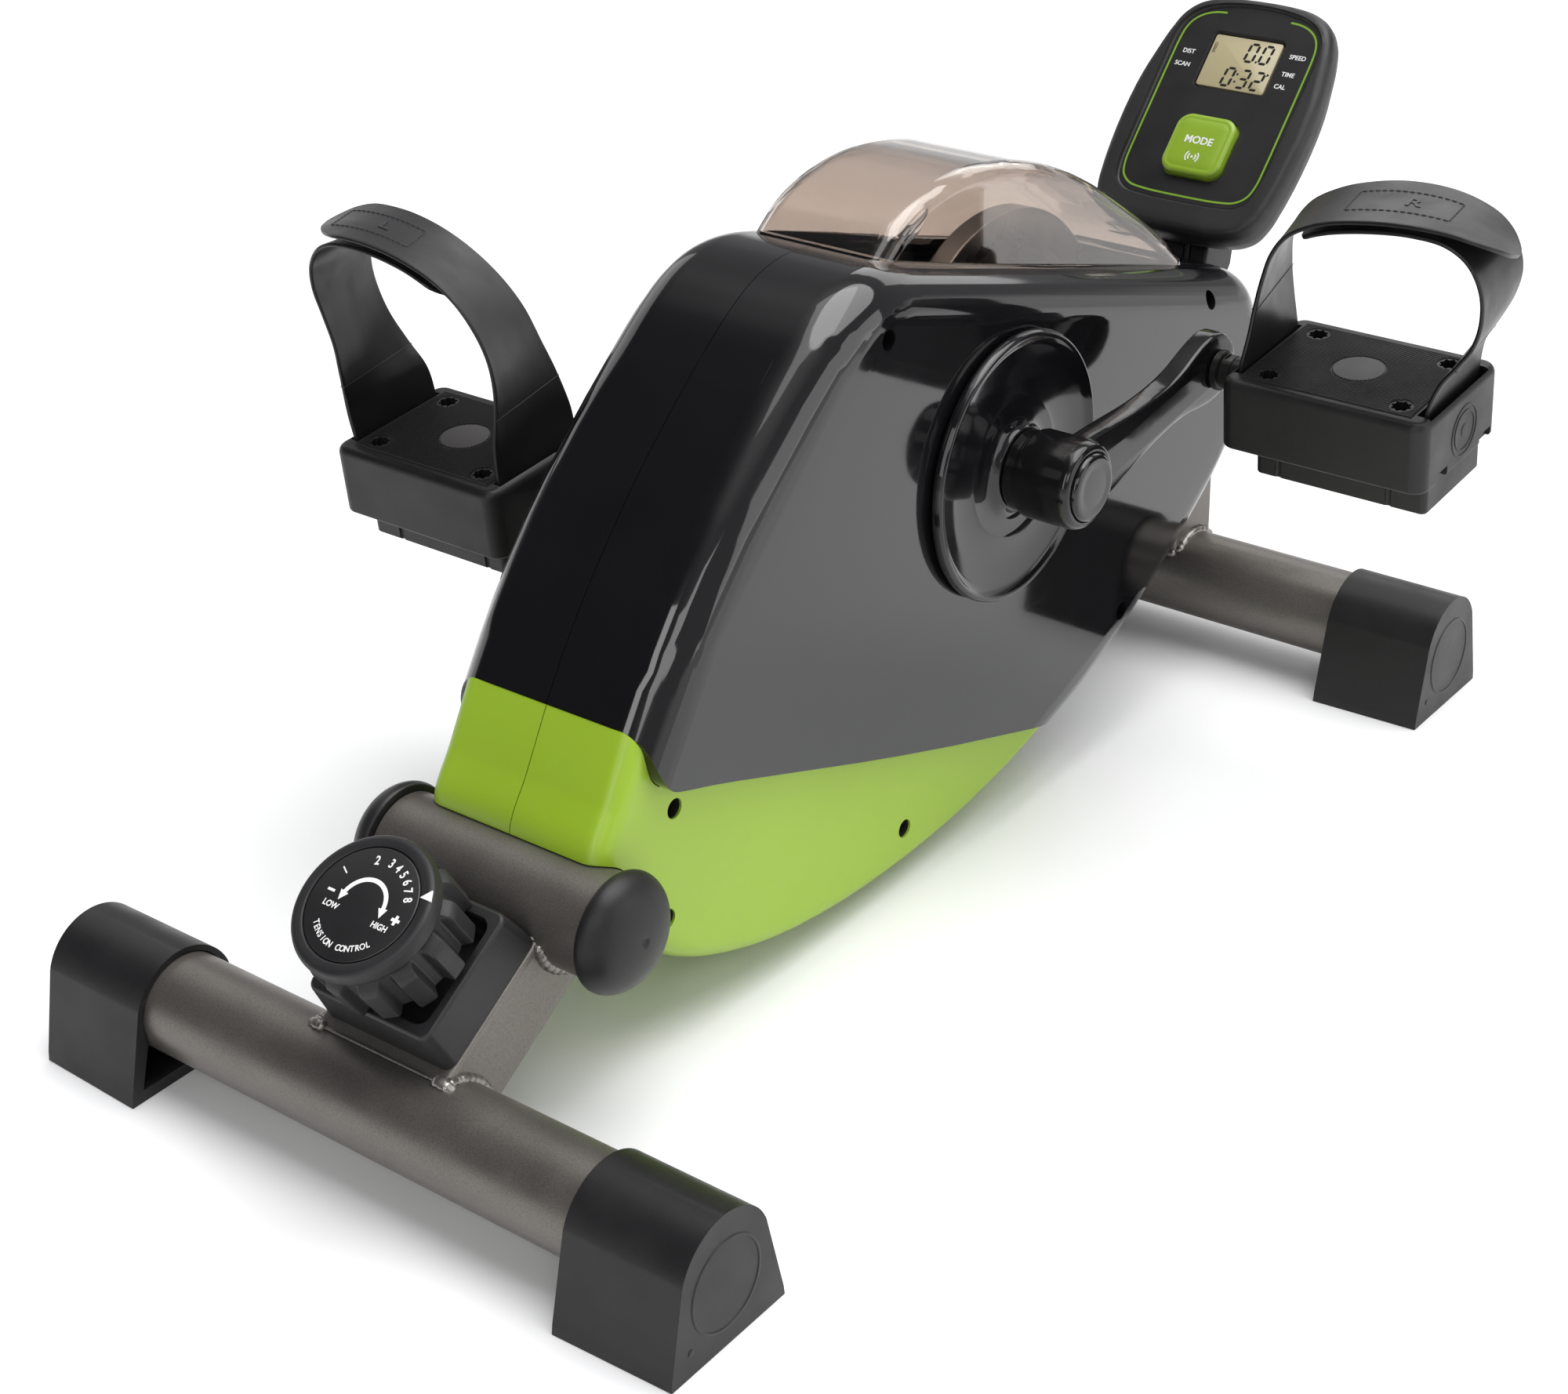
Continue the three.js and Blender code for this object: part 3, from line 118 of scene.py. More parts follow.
def material(name, color, rough=0.5, metal=0.0, spec=0.5, coat=0.0, coat_rough=0.05, rough_var=0.06, rough_scale=40.0,
             tint=0.08, tint_scale=25.0, bump=0.0, bump_scale=2500.0, bump2=0.0, bump2_scale=60.0, flakes=0.0, flake_scale=1500.0,
             scratches=0.0, ior=1.5, wear=0.0):
    """moulded plastic, rubber or painted metal: colour drift, uneven gloss, grain, orange peel, fine scratches and rubbed edges"""
    ma = bpy.data.materials.new(name)
    ma.use_nodes = True
    nt = ma.node_tree
    nt.nodes.clear()
    out = _node(nt, "ShaderNodeOutputMaterial", 900)
    b = _node(nt, "ShaderNodeBsdfPrincipled", 600)
    nt.links.new(b.outputs["BSDF"], out.inputs["Surface"])
    b.inputs["Metallic"].default_value = metal
    b.inputs["Specular IOR Level"].default_value = spec
    b.inputs["IOR"].default_value = ior
    b.inputs["Coat Weight"].default_value = coat
    b.inputs["Coat Roughness"].default_value = coat_rough
    tc = _node(nt, "ShaderNodeTexCoord", -1100)
    # colour: slow drift and small flakes
    n1 = _node(nt, "ShaderNodeTexNoise", -800, 300)
    n1.inputs["Scale"].default_value = tint_scale
    n1.inputs["Detail"].default_value = 4
    nt.links.new(tc.outputs["Object"], n1.inputs["Vector"])
    r1 = _node(nt, "ShaderNodeValToRGB", -500, 300)
    lo = [max(0.0, c * (1 - tint)) for c in color]
    hi = [min(1.0, c * (1 + tint)) for c in color]
    r1.color_ramp.elements[0].position = 0.3
    r1.color_ramp.elements[1].position = 0.7
    r1.color_ramp.elements[0].color = (*lo, 1)
    r1.color_ramp.elements[1].color = (*hi, 1)
    nt.links.new(n1.outputs["Fac"], r1.inputs["Fac"])
    col = r1.outputs["Color"]
    if flakes:
        vf = _node(nt, "ShaderNodeTexVoronoi", -800, 600)
        vf.inputs["Scale"].default_value = flake_scale
        nt.links.new(tc.outputs["Object"], vf.inputs["Vector"])
        rf = _node(nt, "ShaderNodeValToRGB", -500, 600)
        rf.color_ramp.elements[0].color = (*[min(1, c * (1 + 2.2 * flakes)) for c in color], 1)
        rf.color_ramp.elements[1].color = (*[c * (1 - 0.45 * flakes) for c in color], 1)
        rf.color_ramp.elements[0].position = 0.0
        rf.color_ramp.elements[1].position = 0.75
        nt.links.new(vf.outputs["Distance"], rf.inputs["Fac"])
        mx = _node(nt, "ShaderNodeMix", -200, 450, data_type="RGBA")
        mx.inputs["Factor"].default_value = 0.5
        nt.links.new(col, mx.inputs["A"])
        nt.links.new(rf.outputs["Color"], mx.inputs["B"])
        col = mx.outputs["Result"]
    if wear:
        ge = _node(nt, "ShaderNodeNewGeometry", -800, 900)
        rw = _node(nt, "ShaderNodeValToRGB", -500, 900)
        rw.color_ramp.elements[0].position = 0.53
        rw.color_ramp.elements[0].color = (0, 0, 0, 1)
        rw.color_ramp.elements[1].position = 0.62
        rw.color_ramp.elements[1].color = (wear, wear, wear, 1)
        nt.links.new(ge.outputs["Pointiness"], rw.inputs["Fac"])
        mw = _node(nt, "ShaderNodeMix", 0, 700, data_type="RGBA")
        nt.links.new(rw.outputs["Color"], mw.inputs["Factor"])
        nt.links.new(col, mw.inputs["A"])
        mw.inputs["B"].default_value = (*[min(1, c * 1.9 + 0.02) for c in color], 1)
        col = mw.outputs["Result"]
    nt.links.new(col, b.inputs["Base Color"])
    # gloss
    n2 = _node(nt, "ShaderNodeTexNoise", -800, 0)
    n2.inputs["Scale"].default_value = rough_scale
    n2.inputs["Detail"].default_value = 5
    nt.links.new(tc.outputs["Object"], n2.inputs["Vector"])
    mr = _node(nt, "ShaderNodeMapRange", -500, 0)
    mr.inputs["From Min"].default_value = 0.3
    mr.inputs["From Max"].default_value = 0.7
    mr.inputs["To Min"].default_value = max(0.02, rough - rough_var)
    mr.inputs["To Max"].default_value = min(1.0, rough + rough_var)
    nt.links.new(n2.outputs["Fac"], mr.inputs["Value"])
    ro = mr.outputs["Result"]
    if scratches:
        ws = _node(nt, "ShaderNodeTexNoise", -800, -250)
        ws.inputs["Scale"].default_value = 6.0
        mp = _node(nt, "ShaderNodeMapping", -950, -250)
        mp.inputs["Scale"].default_value = (60, 3, 14)
        nt.links.new(tc.outputs["Object"], mp.inputs["Vector"])
        nt.links.new(mp.outputs["Vector"], ws.inputs["Vector"])
        ms = _node(nt, "ShaderNodeMapRange", -500, -250)
        ms.inputs["From Min"].default_value = 0.62
        ms.inputs["From Max"].default_value = 0.78
        ms.inputs["To Max"].default_value = scratches
        nt.links.new(ws.outputs["Fac"], ms.inputs["Value"])
        ad = _node(nt, "ShaderNodeMath", -250, -100, operation="ADD", use_clamp=True)
        nt.links.new(ro, ad.inputs[0])
        nt.links.new(ms.outputs["Result"], ad.inputs[1])
        ro = ad.outputs["Value"]
    nt.links.new(ro, b.inputs["Roughness"])
    # surface: fine grain and slow orange peel
    last = None
    for amount, sc, dist, det in ((bump2, bump2_scale, 0.0006, 2), (bump, bump_scale, 0.00012, 3)):
        if amount:
            n3 = _node(nt, "ShaderNodeTexNoise", -200, -400)
            n3.inputs["Scale"].default_value = sc
            n3.inputs["Detail"].default_value = det
            nt.links.new(tc.outputs["Object"], n3.inputs["Vector"])
            bp = _node(nt, "ShaderNodeBump", 200, -400)
            bp.inputs["Strength"].default_value = amount
            bp.inputs["Distance"].default_value = dist
            nt.links.new(n3.outputs["Fac"], bp.inputs["Height"])
            if last is not None:
                nt.links.new(last, bp.inputs["Normal"])
            last = bp.outputs["Normal"]
    if last is not None:
        nt.links.new(last, b.inputs["Normal"])
    ma.diffuse_color = (*color, 1)
    return ma


def srgb(r, g, b):
    f = lambda v: (v / 255 / 12.92) if v / 255 <= 0.04045 else ((v / 255 + 0.055) / 1.055) ** 2.4
    return (f(r), f(g), f(b))


M_GLOSS = material("gloss_black_plastic", (0.0055, 0.0052, 0.006), rough=0.07, rough_var=0.02, spec=0.5, coat=0.22, coat_rough=0.03, tint=0.1,
                   bump2=0.02, bump2_scale=30, scratches=0.05, ior=1.53)
M_GLOSS_PART = material("gloss_black_moulding", (0.0055, 0.005, 0.006), rough=0.08, rough_var=0.03, coat=0.1, coat_rough=0.04, tint=0.1, scratches=0.1)
M_ENAMEL = material("gloss_black_enamel", (0.0055, 0.005, 0.0055), rough=0.12, rough_var=0.04, spec=0.42, coat=0.05, coat_rough=0.06, bump2=0.08, bump2_scale=90, tint=0.1)
M_GREEN = material("green_plastic", srgb(143, 175, 42), rough=0.34, rough_var=0.04, tint=0.025, tint_scale=9, bump=0.12, bump_scale=1500, bump2=0.02, bump2_scale=80)
M_GREEN_BTN = material("green_button_plastic", srgb(134, 165, 48), rough=0.27, rough_var=0.03, tint=0.02, bump=0.05, bump_scale=1800)
M_TUBE = material("satin_metallic_paint", (0.135, 0.125, 0.113), rough=0.4, rough_var=0.05, metal=0.72, tint=0.06, tint_scale=18, flakes=0.35, flake_scale=1400,
                  bump=0.22, bump_scale=900, bump2=0.05, bump2_scale=60, wear=0.25)
M_RUBBER = material("moulded_black_plastic", (0.0105, 0.0098, 0.0108), rough=0.42, spec=0.34, rough_var=0.07, tint=0.12, bump=0.5, bump_scale=1900, bump2=0.04, bump2_scale=50, wear=0.35)
M_STRAP = material("strap_rubber", (0.0085, 0.0078, 0.0087), rough=0.36, spec=0.34, rough_var=0.08, tint=0.15, bump=0.35, bump_scale=1600, bump2=0.12, bump2_scale=70, wear=0.3)
M_STRAP_IN = material("strap_lining", (0.012, 0.0112, 0.012), rough=0.62, rough_var=0.06, tint=0.15, bump=0.6, bump_scale=1300)
M_SATIN = material("textured_black_plastic", (0.0125, 0.0118, 0.0130), rough=0.46, spec=0.42, rough_var=0.06, tint=0.12, bump=0.9, bump_scale=2100, wear=0.3)
M_PEDAL = material("pedal_black_plastic", (0.0115, 0.0106, 0.0114), rough=0.42, spec=0.34, rough_var=0.08, tint=0.15, bump=0.5, bump_scale=1500, wear=0.4)
M_PEDAL_DISC = material("pedal_smooth_disc", (0.055, 0.05, 0.052), rough=0.5, rough_var=0.06, tint=0.1, bump=0.4, bump_scale=1800)
M_CONSOLE = material("console_black_plastic", (0.0115, 0.0108, 0.0118), rough=0.43, spec=0.45, rough_var=0.05, tint=0.1, bump=0.8, bump_scale=2400, wear=0.2)
M_FACE = material("console_printed_face", (0.0105, 0.010, 0.011), rough=0.36, rough_var=0.04, tint=0.08, bump=0.25, bump_scale=2600)
M_DISC_PLATE = material("dial_plate_black", (0.010, 0.0095, 0.0105), rough=0.42, rough_var=0.05, tint=0.08, bump=0.3, bump_scale=2600)
M_STEEL = material("zinc_plated_steel", (0.55, 0.54, 0.52), rough=0.3, rough_var=0.1, metal=1.0, tint=0.08, tint_scale=120, bump=0.1, bump_scale=800)
M_CAST = material("machined_cast_iron", (0.36, 0.355, 0.35), rough=0.32, rough_var=0.1, metal=1.0, tint=0.12, tint_scale=60, bump=0.2, bump_scale=500)
M_BELT = material("belt_rubber", (0.012, 0.012, 0.012), rough=0.7, rough_var=0.05, tint=0.1, bump=0.4, bump_scale=1500)
M_WHITE = material("white_print", (0.78, 0.78, 0.77), rough=0.45, rough_var=0.03, tint=0.02)
M_GREENINK = material("green_print", srgb(118, 160, 40), rough=0.42, rough_var=0.03, tint=0.03)
M_LCDINK = material("liquid_crystal_segments", (0.012, 0.012, 0.010), rough=0.3, rough_var=0.02, tint=0.02)
M_LCDGHOST = material("liquid_crystal_faint", srgb(150, 141, 112), rough=0.25, rough_var=0.02, tint=0.02)
M_LCD = material("liquid_crystal_glass", srgb(176, 166, 132), rough=0.16, rough_var=0.03, tint=0.06, tint_scale=14, coat=0.6, coat_rough=0.03)
# dark sleeve material for the counterbores: the black inner posts, and painted shade for the deep holes
M_POST_AND_BORE_SHADE = material("inner_post_black_and_bore_shade", (0.006, 0.006, 0.006), rough=0.6, rough_var=0.05, tint=0.1, bump=0.2)
M_BLACKSTEEL = material("black_oxide_steel", (0.03, 0.029, 0.028), rough=0.3, rough_var=0.08, metal=0.8, tint=0.15, tint_scale=90, bump=0.15, bump_scale=800)
M_THREAD = material("stitching_thread", (0.022, 0.021, 0.022), rough=0.75, rough_var=0.05, tint=0.2, bump=0.3, bump_scale=3000)


def smoked(name):
    ma = bpy.data.materials.new(name)
    ma.use_nodes = True
    nt = ma.node_tree
    nt.nodes.clear()
    out = _node(nt, "ShaderNodeOutputMaterial", 900)
    b = _node(nt, "ShaderNodeBsdfPrincipled", 600)
    nt.links.new(b.outputs["BSDF"], out.inputs["Surface"])
    tc = _node(nt, "ShaderNodeTexCoord", -900)
    n1 = _node(nt, "ShaderNodeTexNoise", -600, 200)
    n1.inputs["Scale"].default_value = 9
    nt.links.new(tc.outputs["Object"], n1.inputs["Vector"])
    r1 = _node(nt, "ShaderNodeValToRGB", -300, 200)
    r1.color_ramp.elements[0].color = (0.62, 0.545, 0.49, 1)
    r1.color_ramp.elements[1].color = (0.68, 0.60, 0.545, 1)
    nt.links.new(n1.outputs["Fac"], r1.inputs["Fac"])
    nt.links.new(r1.outputs["Color"], b.inputs["Base Color"])
    n2 = _node(nt, "ShaderNodeTexNoise", -600, -100)
    n2.inputs["Scale"].default_value = 60
    n2.inputs["Detail"].default_value = 6
    nt.links.new(tc.outputs["Object"], n2.inputs["Vector"])
    mr = _node(nt, "ShaderNodeMapRange", -300, -100)
    mr.inputs["To Min"].default_value = 0.01
    mr.inputs["To Max"].default_value = 0.05
    nt.links.new(n2.outputs["Fac"], mr.inputs["Value"])
    nt.links.new(mr.outputs["Result"], b.inputs["Roughness"])
    b.inputs["Transmission Weight"].default_value = 1.0
    b.inputs["IOR"].default_value = 1.46
    b.inputs["Coat Weight"].default_value = 0.3
    b.inputs["Coat Roughness"].default_value = 0.02
    ma.diffuse_color = (0.3, 0.25, 0.2, 0.5)
    return ma


M_SMOKE = smoked("smoked_clear_plastic")

# ------------------------------------------------------------------ mesh toolkit (all in mm, layout frame)
def link(ob):
    scene.collection.objects.link(ob)
    return ob


def mesh_ob(name, verts, faces, tf=None):
    me = bpy.data.meshes.new(name)
    me.from_pydata([tuple(v) for v in verts], [], faces)
    bm = bmesh.new()
    bm.from_mesh(me)
    bmesh.ops.remove_doubles(bm, verts=bm.verts, dist=1e-4)
    bmesh.ops.dissolve_degenerate(bm, edges=bm.edges, dist=1e-5)
    if tf is not None:
        bm.transform(tf)
    bmesh.ops.recalc_face_normals(bm, faces=bm.faces)
    bm.to_mesh(me)
    bm.free()
    return link(bpy.data.objects.new(name, me))


def apply(ob):
    dg = bpy.context.evaluated_depsgraph_get()
    dg.update()
    me = bpy.data.meshes.new_from_object(ob.evaluated_get(dg))
    old = ob.data
    ob.modifiers.clear()
    ob.data = me
    bpy.data.meshes.remove(old)
    return ob


def boole(ob, cutter, op="DIFFERENCE", keep=False, solver="MANIFOLD"):
    md = ob.modifiers.new("b", "BOOLEAN")
    md.operation = op
    md.solver = solver
    md.object = cutter
    apply(ob)
    if not keep:
        drop(cutter)
    return ob


def drop(ob):
    me = ob.data
    bpy.data.objects.remove(ob, do_unlink=True)
    if me and me.users == 0:
        bpy.data.meshes.remove(me)


def copy(ob, name=None, tf=None):
    o = bpy.data.objects.new(name or ob.name + "_c", ob.data.copy())
    link(o)
    if tf is not None:
        o.data.transform(tf)
        if tf.determinant() < 0:
            o.data.flip_normals()
    return o


def move(ob, tf):
    ob.data.transform(tf)
    if tf.determinant() < 0:
        ob.data.flip_normals()
    return ob


def only(ob, mat):
    """one material all over"""
    ob.data.materials.clear()
    ob.data.materials.append(mat)
    for p in ob.data.polygons:
        p.material_index = 0
    return ob


def merge(name, obs):
    """several closed forms in one piece"""
    bm = bmesh.new()
    mats = []
    for o in obs:
        base = len(mats)
        mats.extend(list(o.data.materials) or [None])
        tmp = o.data.copy()
        for p in tmp.polygons:
            p.material_index += base
        bm.from_mesh(tmp)
        bpy.data.meshes.remove(tmp)
    me = bpy.data.meshes.new(name)
    bm.to_mesh(me)
    bm.free()
    for mt in mats:
        me.materials.append(mt)
    for o in obs:
        drop(o)
    return link(bpy.data.objects.new(name, me))


def finish(ob, mat, body, nodes=(), bevel=0.0, segs=2, angle=32, sharp=38, weld=0.004, weight=True):
    """bevelled edges, even shading, material, place in the row frame, body"""
    if bevel:
        bm = bmesh.new()
        bm.from_mesh(ob.data)
        bmesh.ops.remove_doubles(bm, verts=bm.verts, dist=weld)
        bmesh.ops.dissolve_limit(bm, angle_limit=math.radians(1.2), verts=bm.verts, edges=bm.edges)
        bm.to_mesh(ob.data)
        bm.free()
        md = ob.modifiers.new("bv", "BEVEL")
        md.width = bevel
        md.segments = segs
        md.limit_method = "ANGLE"
        md.angle_limit = math.radians(angle)
        md.use_clamp_overlap = True
        md.miter_outer = "MITER_ARC"
        apply(ob)
    me = ob.data
    bm = bmesh.new()
    bm.from_mesh(me)
    for f in bm.faces:
        f.smooth = True
    lim = math.radians(sharp)
    for e in bm.edges:
        e.smooth = not (len(e.link_faces) == 2 and e.calc_face_angle(0) > lim)
    bm.to_mesh(me)
    bm.free()
    if weight:
        md = ob.modifiers.new("wn", "WEIGHTED_NORMAL")
        md.keep_sharp = True
        md.weight = 60
        apply(ob)
    me = ob.data
    if mat is not None:
        only(ob, mat)
    me.transform(TO_ROW)
    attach(ob, body)
    if nodes:
        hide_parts(*nodes)
    return ob


def grid_faces(nu, nv, close_u=False, close_v=False):
    """vertex (i, j) is i * nv + j"""
    f = []
    for i in range(nu if close_u else nu - 1):
        for j in range(nv if close_v else nv - 1):
            a, b = i, (i + 1) % nu
            c, d = j, (j + 1) % nv
            f.append((a * nv + c, b * nv + c, b * nv + d, a * nv + d))
    return f


def loft(name, rings, caps=True, closed=True, tf=None):
    """closed rings of the same number of points"""
    n = len(rings[0])
    verts = [p for r in rings for p in r]
    f = grid_faces(len(rings), n, False, closed)
    if caps:
        f.append(tuple(range(n))[::-1])
        k = (len(rings) - 1) * n
        f.append(tuple(k + i for i in range(n)))
    return mesh_ob(name, verts, f, tf)


def lathe(name, prof, seg=64, axis="X", at=(0, 0, 0), tf=None, closed=True):
    """profile of (radius, height) turned about an axis; closed joins the last point to the first"""
    verts, n = [], len(prof)
    for i in range(seg):
        a = 2 * math.pi * i / seg
        c, s = math.cos(a), math.sin(a)
        for r, h in prof:
            p = (h, r * c, r * s) if axis == "X" else ((r * c, r * s, h) if axis == "Z" else (r * c, h, r * s))
            verts.append((p[0] + at[0], p[1] + at[1], p[2] + at[2]))
    f = grid_faces(seg, n, True, closed)
    return mesh_ob(name, verts, f, tf)


def cyl(name, r, a, b, at=(0, 0), axis="X", seg=48, tf=None):
    """solid cylinder along an axis from a to b"""
    prof = [(0, a), (r, a), (r, b), (0, b)]
    if axis == "X":
        o = (0, at[0], at[1])
    elif axis == "Z":
        o = (at[0], at[1], 0)
    else:
        o = (at[0], 0, at[1])
    return lathe(name, prof, seg, axis, o, tf)


def prism(name, pts, a, b, plane="YZ", tf=None):
    """flat profile pushed along the remaining axis from a to b"""
    def p3(p, h):
        return (h, p[0], p[1]) if plane == "YZ" else ((p[0], p[1], h) if plane == "XY" else (p[0], h, p[1]))
    return loft(name, [[p3(p, a) for p in pts], [p3(p, b) for p in pts]], tf=tf)


def boxm(name, x0, x1, y0, y1, z0, z1, tf=None):
    return prism(name, [(x0, y0), (x1, y0), (x1, y1), (x0, y1)], z0, z1, "XY", tf)


def spline(pts, n, closed=False):
    """centripetal Catmull-Rom through the points, resampled evenly to n points"""
    P = [Vector(p) for p in pts]
    dim = len(P[0])
    out = []
    k = len(P)
    segs = k if closed else k - 1
    for i in range(segs):
        if closed:
            p0, p1, p2, p3 = P[(i - 1) % k], P[i], P[(i + 1) % k], P[(i + 2) % k]
        else:
            p1, p2 = P[i], P[i + 1]
            p0 = P[i - 1] if i else p1 * 2 - p2
            p3 = P[i + 2] if i + 2 < k else p2 * 2 - p1
        t0 = 0.0
        t1 = t0 + max(1e-6, (p1 - p0).length) ** 0.5
        t2 = t1 + max(1e-6, (p2 - p1).length) ** 0.5
        t3 = t2 + max(1e-6, (p3 - p2).length) ** 0.5
        for j in range(24):
            t = t1 + (t2 - t1) * j / 24
            a1 = p0 * ((t1 - t) / (t1 - t0)) + p1 * ((t - t0) / (t1 - t0))
            a2 = p1 * ((t2 - t) / (t2 - t1)) + p2 * ((t - t1) / (t2 - t1))
            a3 = p2 * ((t3 - t) / (t3 - t2)) + p3 * ((t - t2) / (t3 - t2))
            b1 = a1 * ((t2 - t) / (t2 - t0)) + a2 * ((t - t0) / (t2 - t0))
            b2 = a2 * ((t3 - t) / (t3 - t1)) + a3 * ((t - t1) / (t3 - t1))
            out.append(b1 * ((t2 - t) / (t2 - t1)) + b2 * ((t - t1) / (t2 - t1)))
    if not closed:
        out.append(P[-1])
    L = [0.0]
    m2 = out + ([out[0]] if closed else [])
    for i in range(1, len(m2)):
        L.append(L[-1] + (m2[i] - m2[i - 1]).length)
    res, j = [], 0
    cnt = n if closed else n - 1
    for i in range(n):
        d = L[-1] * i / cnt
        while j < len(L) - 2 and L[j + 1] < d:
            j += 1
        u = (d - L[j]) / max(1e-9, L[j + 1] - L[j])
        res.append(tuple(m2[j].lerp(m2[j + 1], min(1, max(0, u)))))
    return res


def inset(pts, d):
    """closed anticlockwise or clockwise ring moved inwards by d along its normals"""
    n = len(pts)
    area = sum(pts[i][0] * pts[(i + 1) % n][1] - pts[(i + 1) % n][0] * pts[i][1] for i in range(n))
    s = 1 if area > 0 else -1
    out = []
    for i in range(n):
        a, b = Vector(pts[i - 1]), Vector(pts[(i + 1) % n])
        t = (b - a).normalized()
        out.append((pts[i][0] - s * t[1] * d, pts[i][1] + s * t[0] * d))
    return out


def rounded_slab(name, ring, x0, x1, r, segs=6, tf=None, plane="YZ", r2=None):
    """outline pushed from x0 to x1 with both rims rounded by r"""
    r2 = r if r2 is None else r2
    def p3(p, h):
        return (h, p[0], p[1]) if plane == "YZ" else ((p[0], p[1], h) if plane == "XY" else (p[0], h, p[1]))
    rings = []
    for k in range(segs + 1):
        a = math.pi / 2 * k / segs
        rings.append([p3(p, x0 + r2 * (1 - math.sin(a))) for p in inset(ring, r2 * (1 - math.cos(a)))][:] if r2 else [p3(p, x0) for p in ring])
        if not r2:
            break
    rings = rings[::-1]
    # from the x0 face outwards
    out = []
    if r2:
        for k in range(segs + 1):
            a = math.pi / 2 * k / segs
            out.append([p3(p, x0 + r2 * (1 - math.sin(a))) for p in inset(ring, r2 * (1 - math.cos(math.pi / 2 - (math.pi / 2 - a))))])
        # a = 0 is the full outline at x0 + r2, a = 90 deg the inset outline at x0
        out = out[::-1]
    else:
        out.append([p3(p, x0) for p in ring])
    if r:
        for k in range(segs + 1):
            a = math.pi / 2 * k / segs
            out.append([p3(p, x1 - r * (1 - math.sin(a))) for p in inset(ring, r * (1 - math.cos(a)))])
    else:
        out.append([p3(p, x1) for p in ring])
    return loft(name, out, tf=tf)


def round_rect(w, h, r, n=8, cx=0.0, cy=0.0):
    out = []
    for x, y, a0 in ((w / 2 - r, h / 2 - r, 0), (-w / 2 + r, h / 2 - r, 90), (-w / 2 + r, -h / 2 + r, 180), (w / 2 - r, -h / 2 + r, 270)):
        for i in range(n + 1):
            a = math.radians(a0 + 90 * i / n)
            out.append((cx + x + r * math.cos(a), cy + y + r * math.sin(a)))
    return out


def sweep(name, pts, r, sides=10, n=None, closed=False, tf=None, wob=0.0, seed=0):
    """round bar along points"""
    path = [Vector(p) for p in (spline(pts, n, closed) if n else pts)]
    rings, prev = [], None
    k = len(path)
    for i, p in enumerate(path):
        a = path[(i - 1) % k] if (closed or i) else p
        b = path[(i + 1) % k] if (closed or i < k - 1) else p
        t = (b - a).normalized()
        if prev is None:
            u = t.cross(Vector((0.31, 0.2, 0.93))).normalized()
        else:
            u = (prev - t * prev.dot(t)).normalized()
        prev = u
        v = t.cross(u)
        rr = r * (1 + wob * noise.noise(Vector((i * 0.35 + seed, seed * 1.7, 0.3)))) if wob else r
        rings.append([tuple(p + u * (rr * math.cos(2 * math.pi * j / sides)) + v * (rr * math.sin(2 * math.pi * j / sides))) for j in range(sides)])
    if closed:
        verts = [q for rg in rings for q in rg]
        return mesh_ob(name, verts, grid_faces(k, sides, True, True), tf)
    return loft(name, rings, tf=tf)


def text(name, body, size, at, rot=0.0, tf=None, mat=None, depth=0.12, xscale=1.0, align="CENTER", bold=0.0, spacing=1.0):
    """letters as thin raised print, centred on at = (x, y, z) of a frame"""
    cu = bpy.data.curves.new(name, "FONT")
    cu.body = body
    cu.size = size
    cu.align_x = align
    cu.align_y = "CENTER"
    cu.extrude = depth / 2
    cu.offset = bold
    cu.space_character = spacing
    cu.resolution_u = 4
    ob = link(bpy.data.objects.new(name, cu))
    bpy.context.view_layer.update()
    dg = bpy.context.evaluated_depsgraph_get()
    me = bpy.data.meshes.new_from_object(ob.evaluated_get(dg))
    bpy.data.objects.remove(ob, do_unlink=True)
    o = link(bpy.data.objects.new(name, me))
    me.materials.clear()
    if mat:
        me.materials.append(mat)
    t = Matrix.Translation(at) @ Matrix.Rotation(rot, 4, "Z") @ Matrix.Diagonal((xscale, 1, 1, 1))
    me.transform((tf or Matrix.Identity(4)) @ t)
    return o


def ribbon_flat(name, pts2, w, z0, z1, tf=None, closed=False):
    """flat printed line of width w along 2-D points, between heights z0 and z1"""
    n = len(pts2)
    L, R = [], []
    for i in range(n):
        a = Vector(pts2[(i - 1) % n] if (closed or i) else pts2[i])
        b = Vector(pts2[(i + 1) % n] if (closed or i < n - 1) else pts2[i])
        t = (b - a).normalized()
        nx, ny = -t[1], t[0]
        L.append((pts2[i][0] + nx * w / 2, pts2[i][1] + ny * w / 2))
        R.append((pts2[i][0] - nx * w / 2, pts2[i][1] - ny * w / 2))
    rings = [[(*L[i], z0), (*R[i], z0), (*R[i], z1), (*L[i], z1)] for i in range(n)]
    if closed:
        verts = [p for r in rings for p in r]
        return mesh_ob(name, verts, grid_faces(n, 4, True, True), tf)
    return loft(name, rings, tf=tf)


def arc2(cx, cy, r, a0, a1, n):
    return [(cx + r * math.cos(math.radians(a0 + (a1 - a0) * i / n)), cy + r * math.sin(math.radians(a0 + (a1 - a0) * i / n))) for i in range(n + 1)]


def dress(node, mat, smooth_angle=40):
    """a CAD node that stays: its own procedural material and even shading"""
    ob = NODES[node]
    ob.data.materials.clear()
    ob.data.materials.append(mat)
    for p in ob.data.polygons:
        p.use_smooth = True
        p.material_index = 0
    bm = bmesh.new()
    bm.from_mesh(ob.data)
    sharp = [e.index for e in bm.edges if len(e.link_faces) == 2 and e.calc_face_angle(0) > math.radians(smooth_angle)]
    bm.free()
    for i in sharp:
        ob.data.edges[i].use_edge_sharp = True

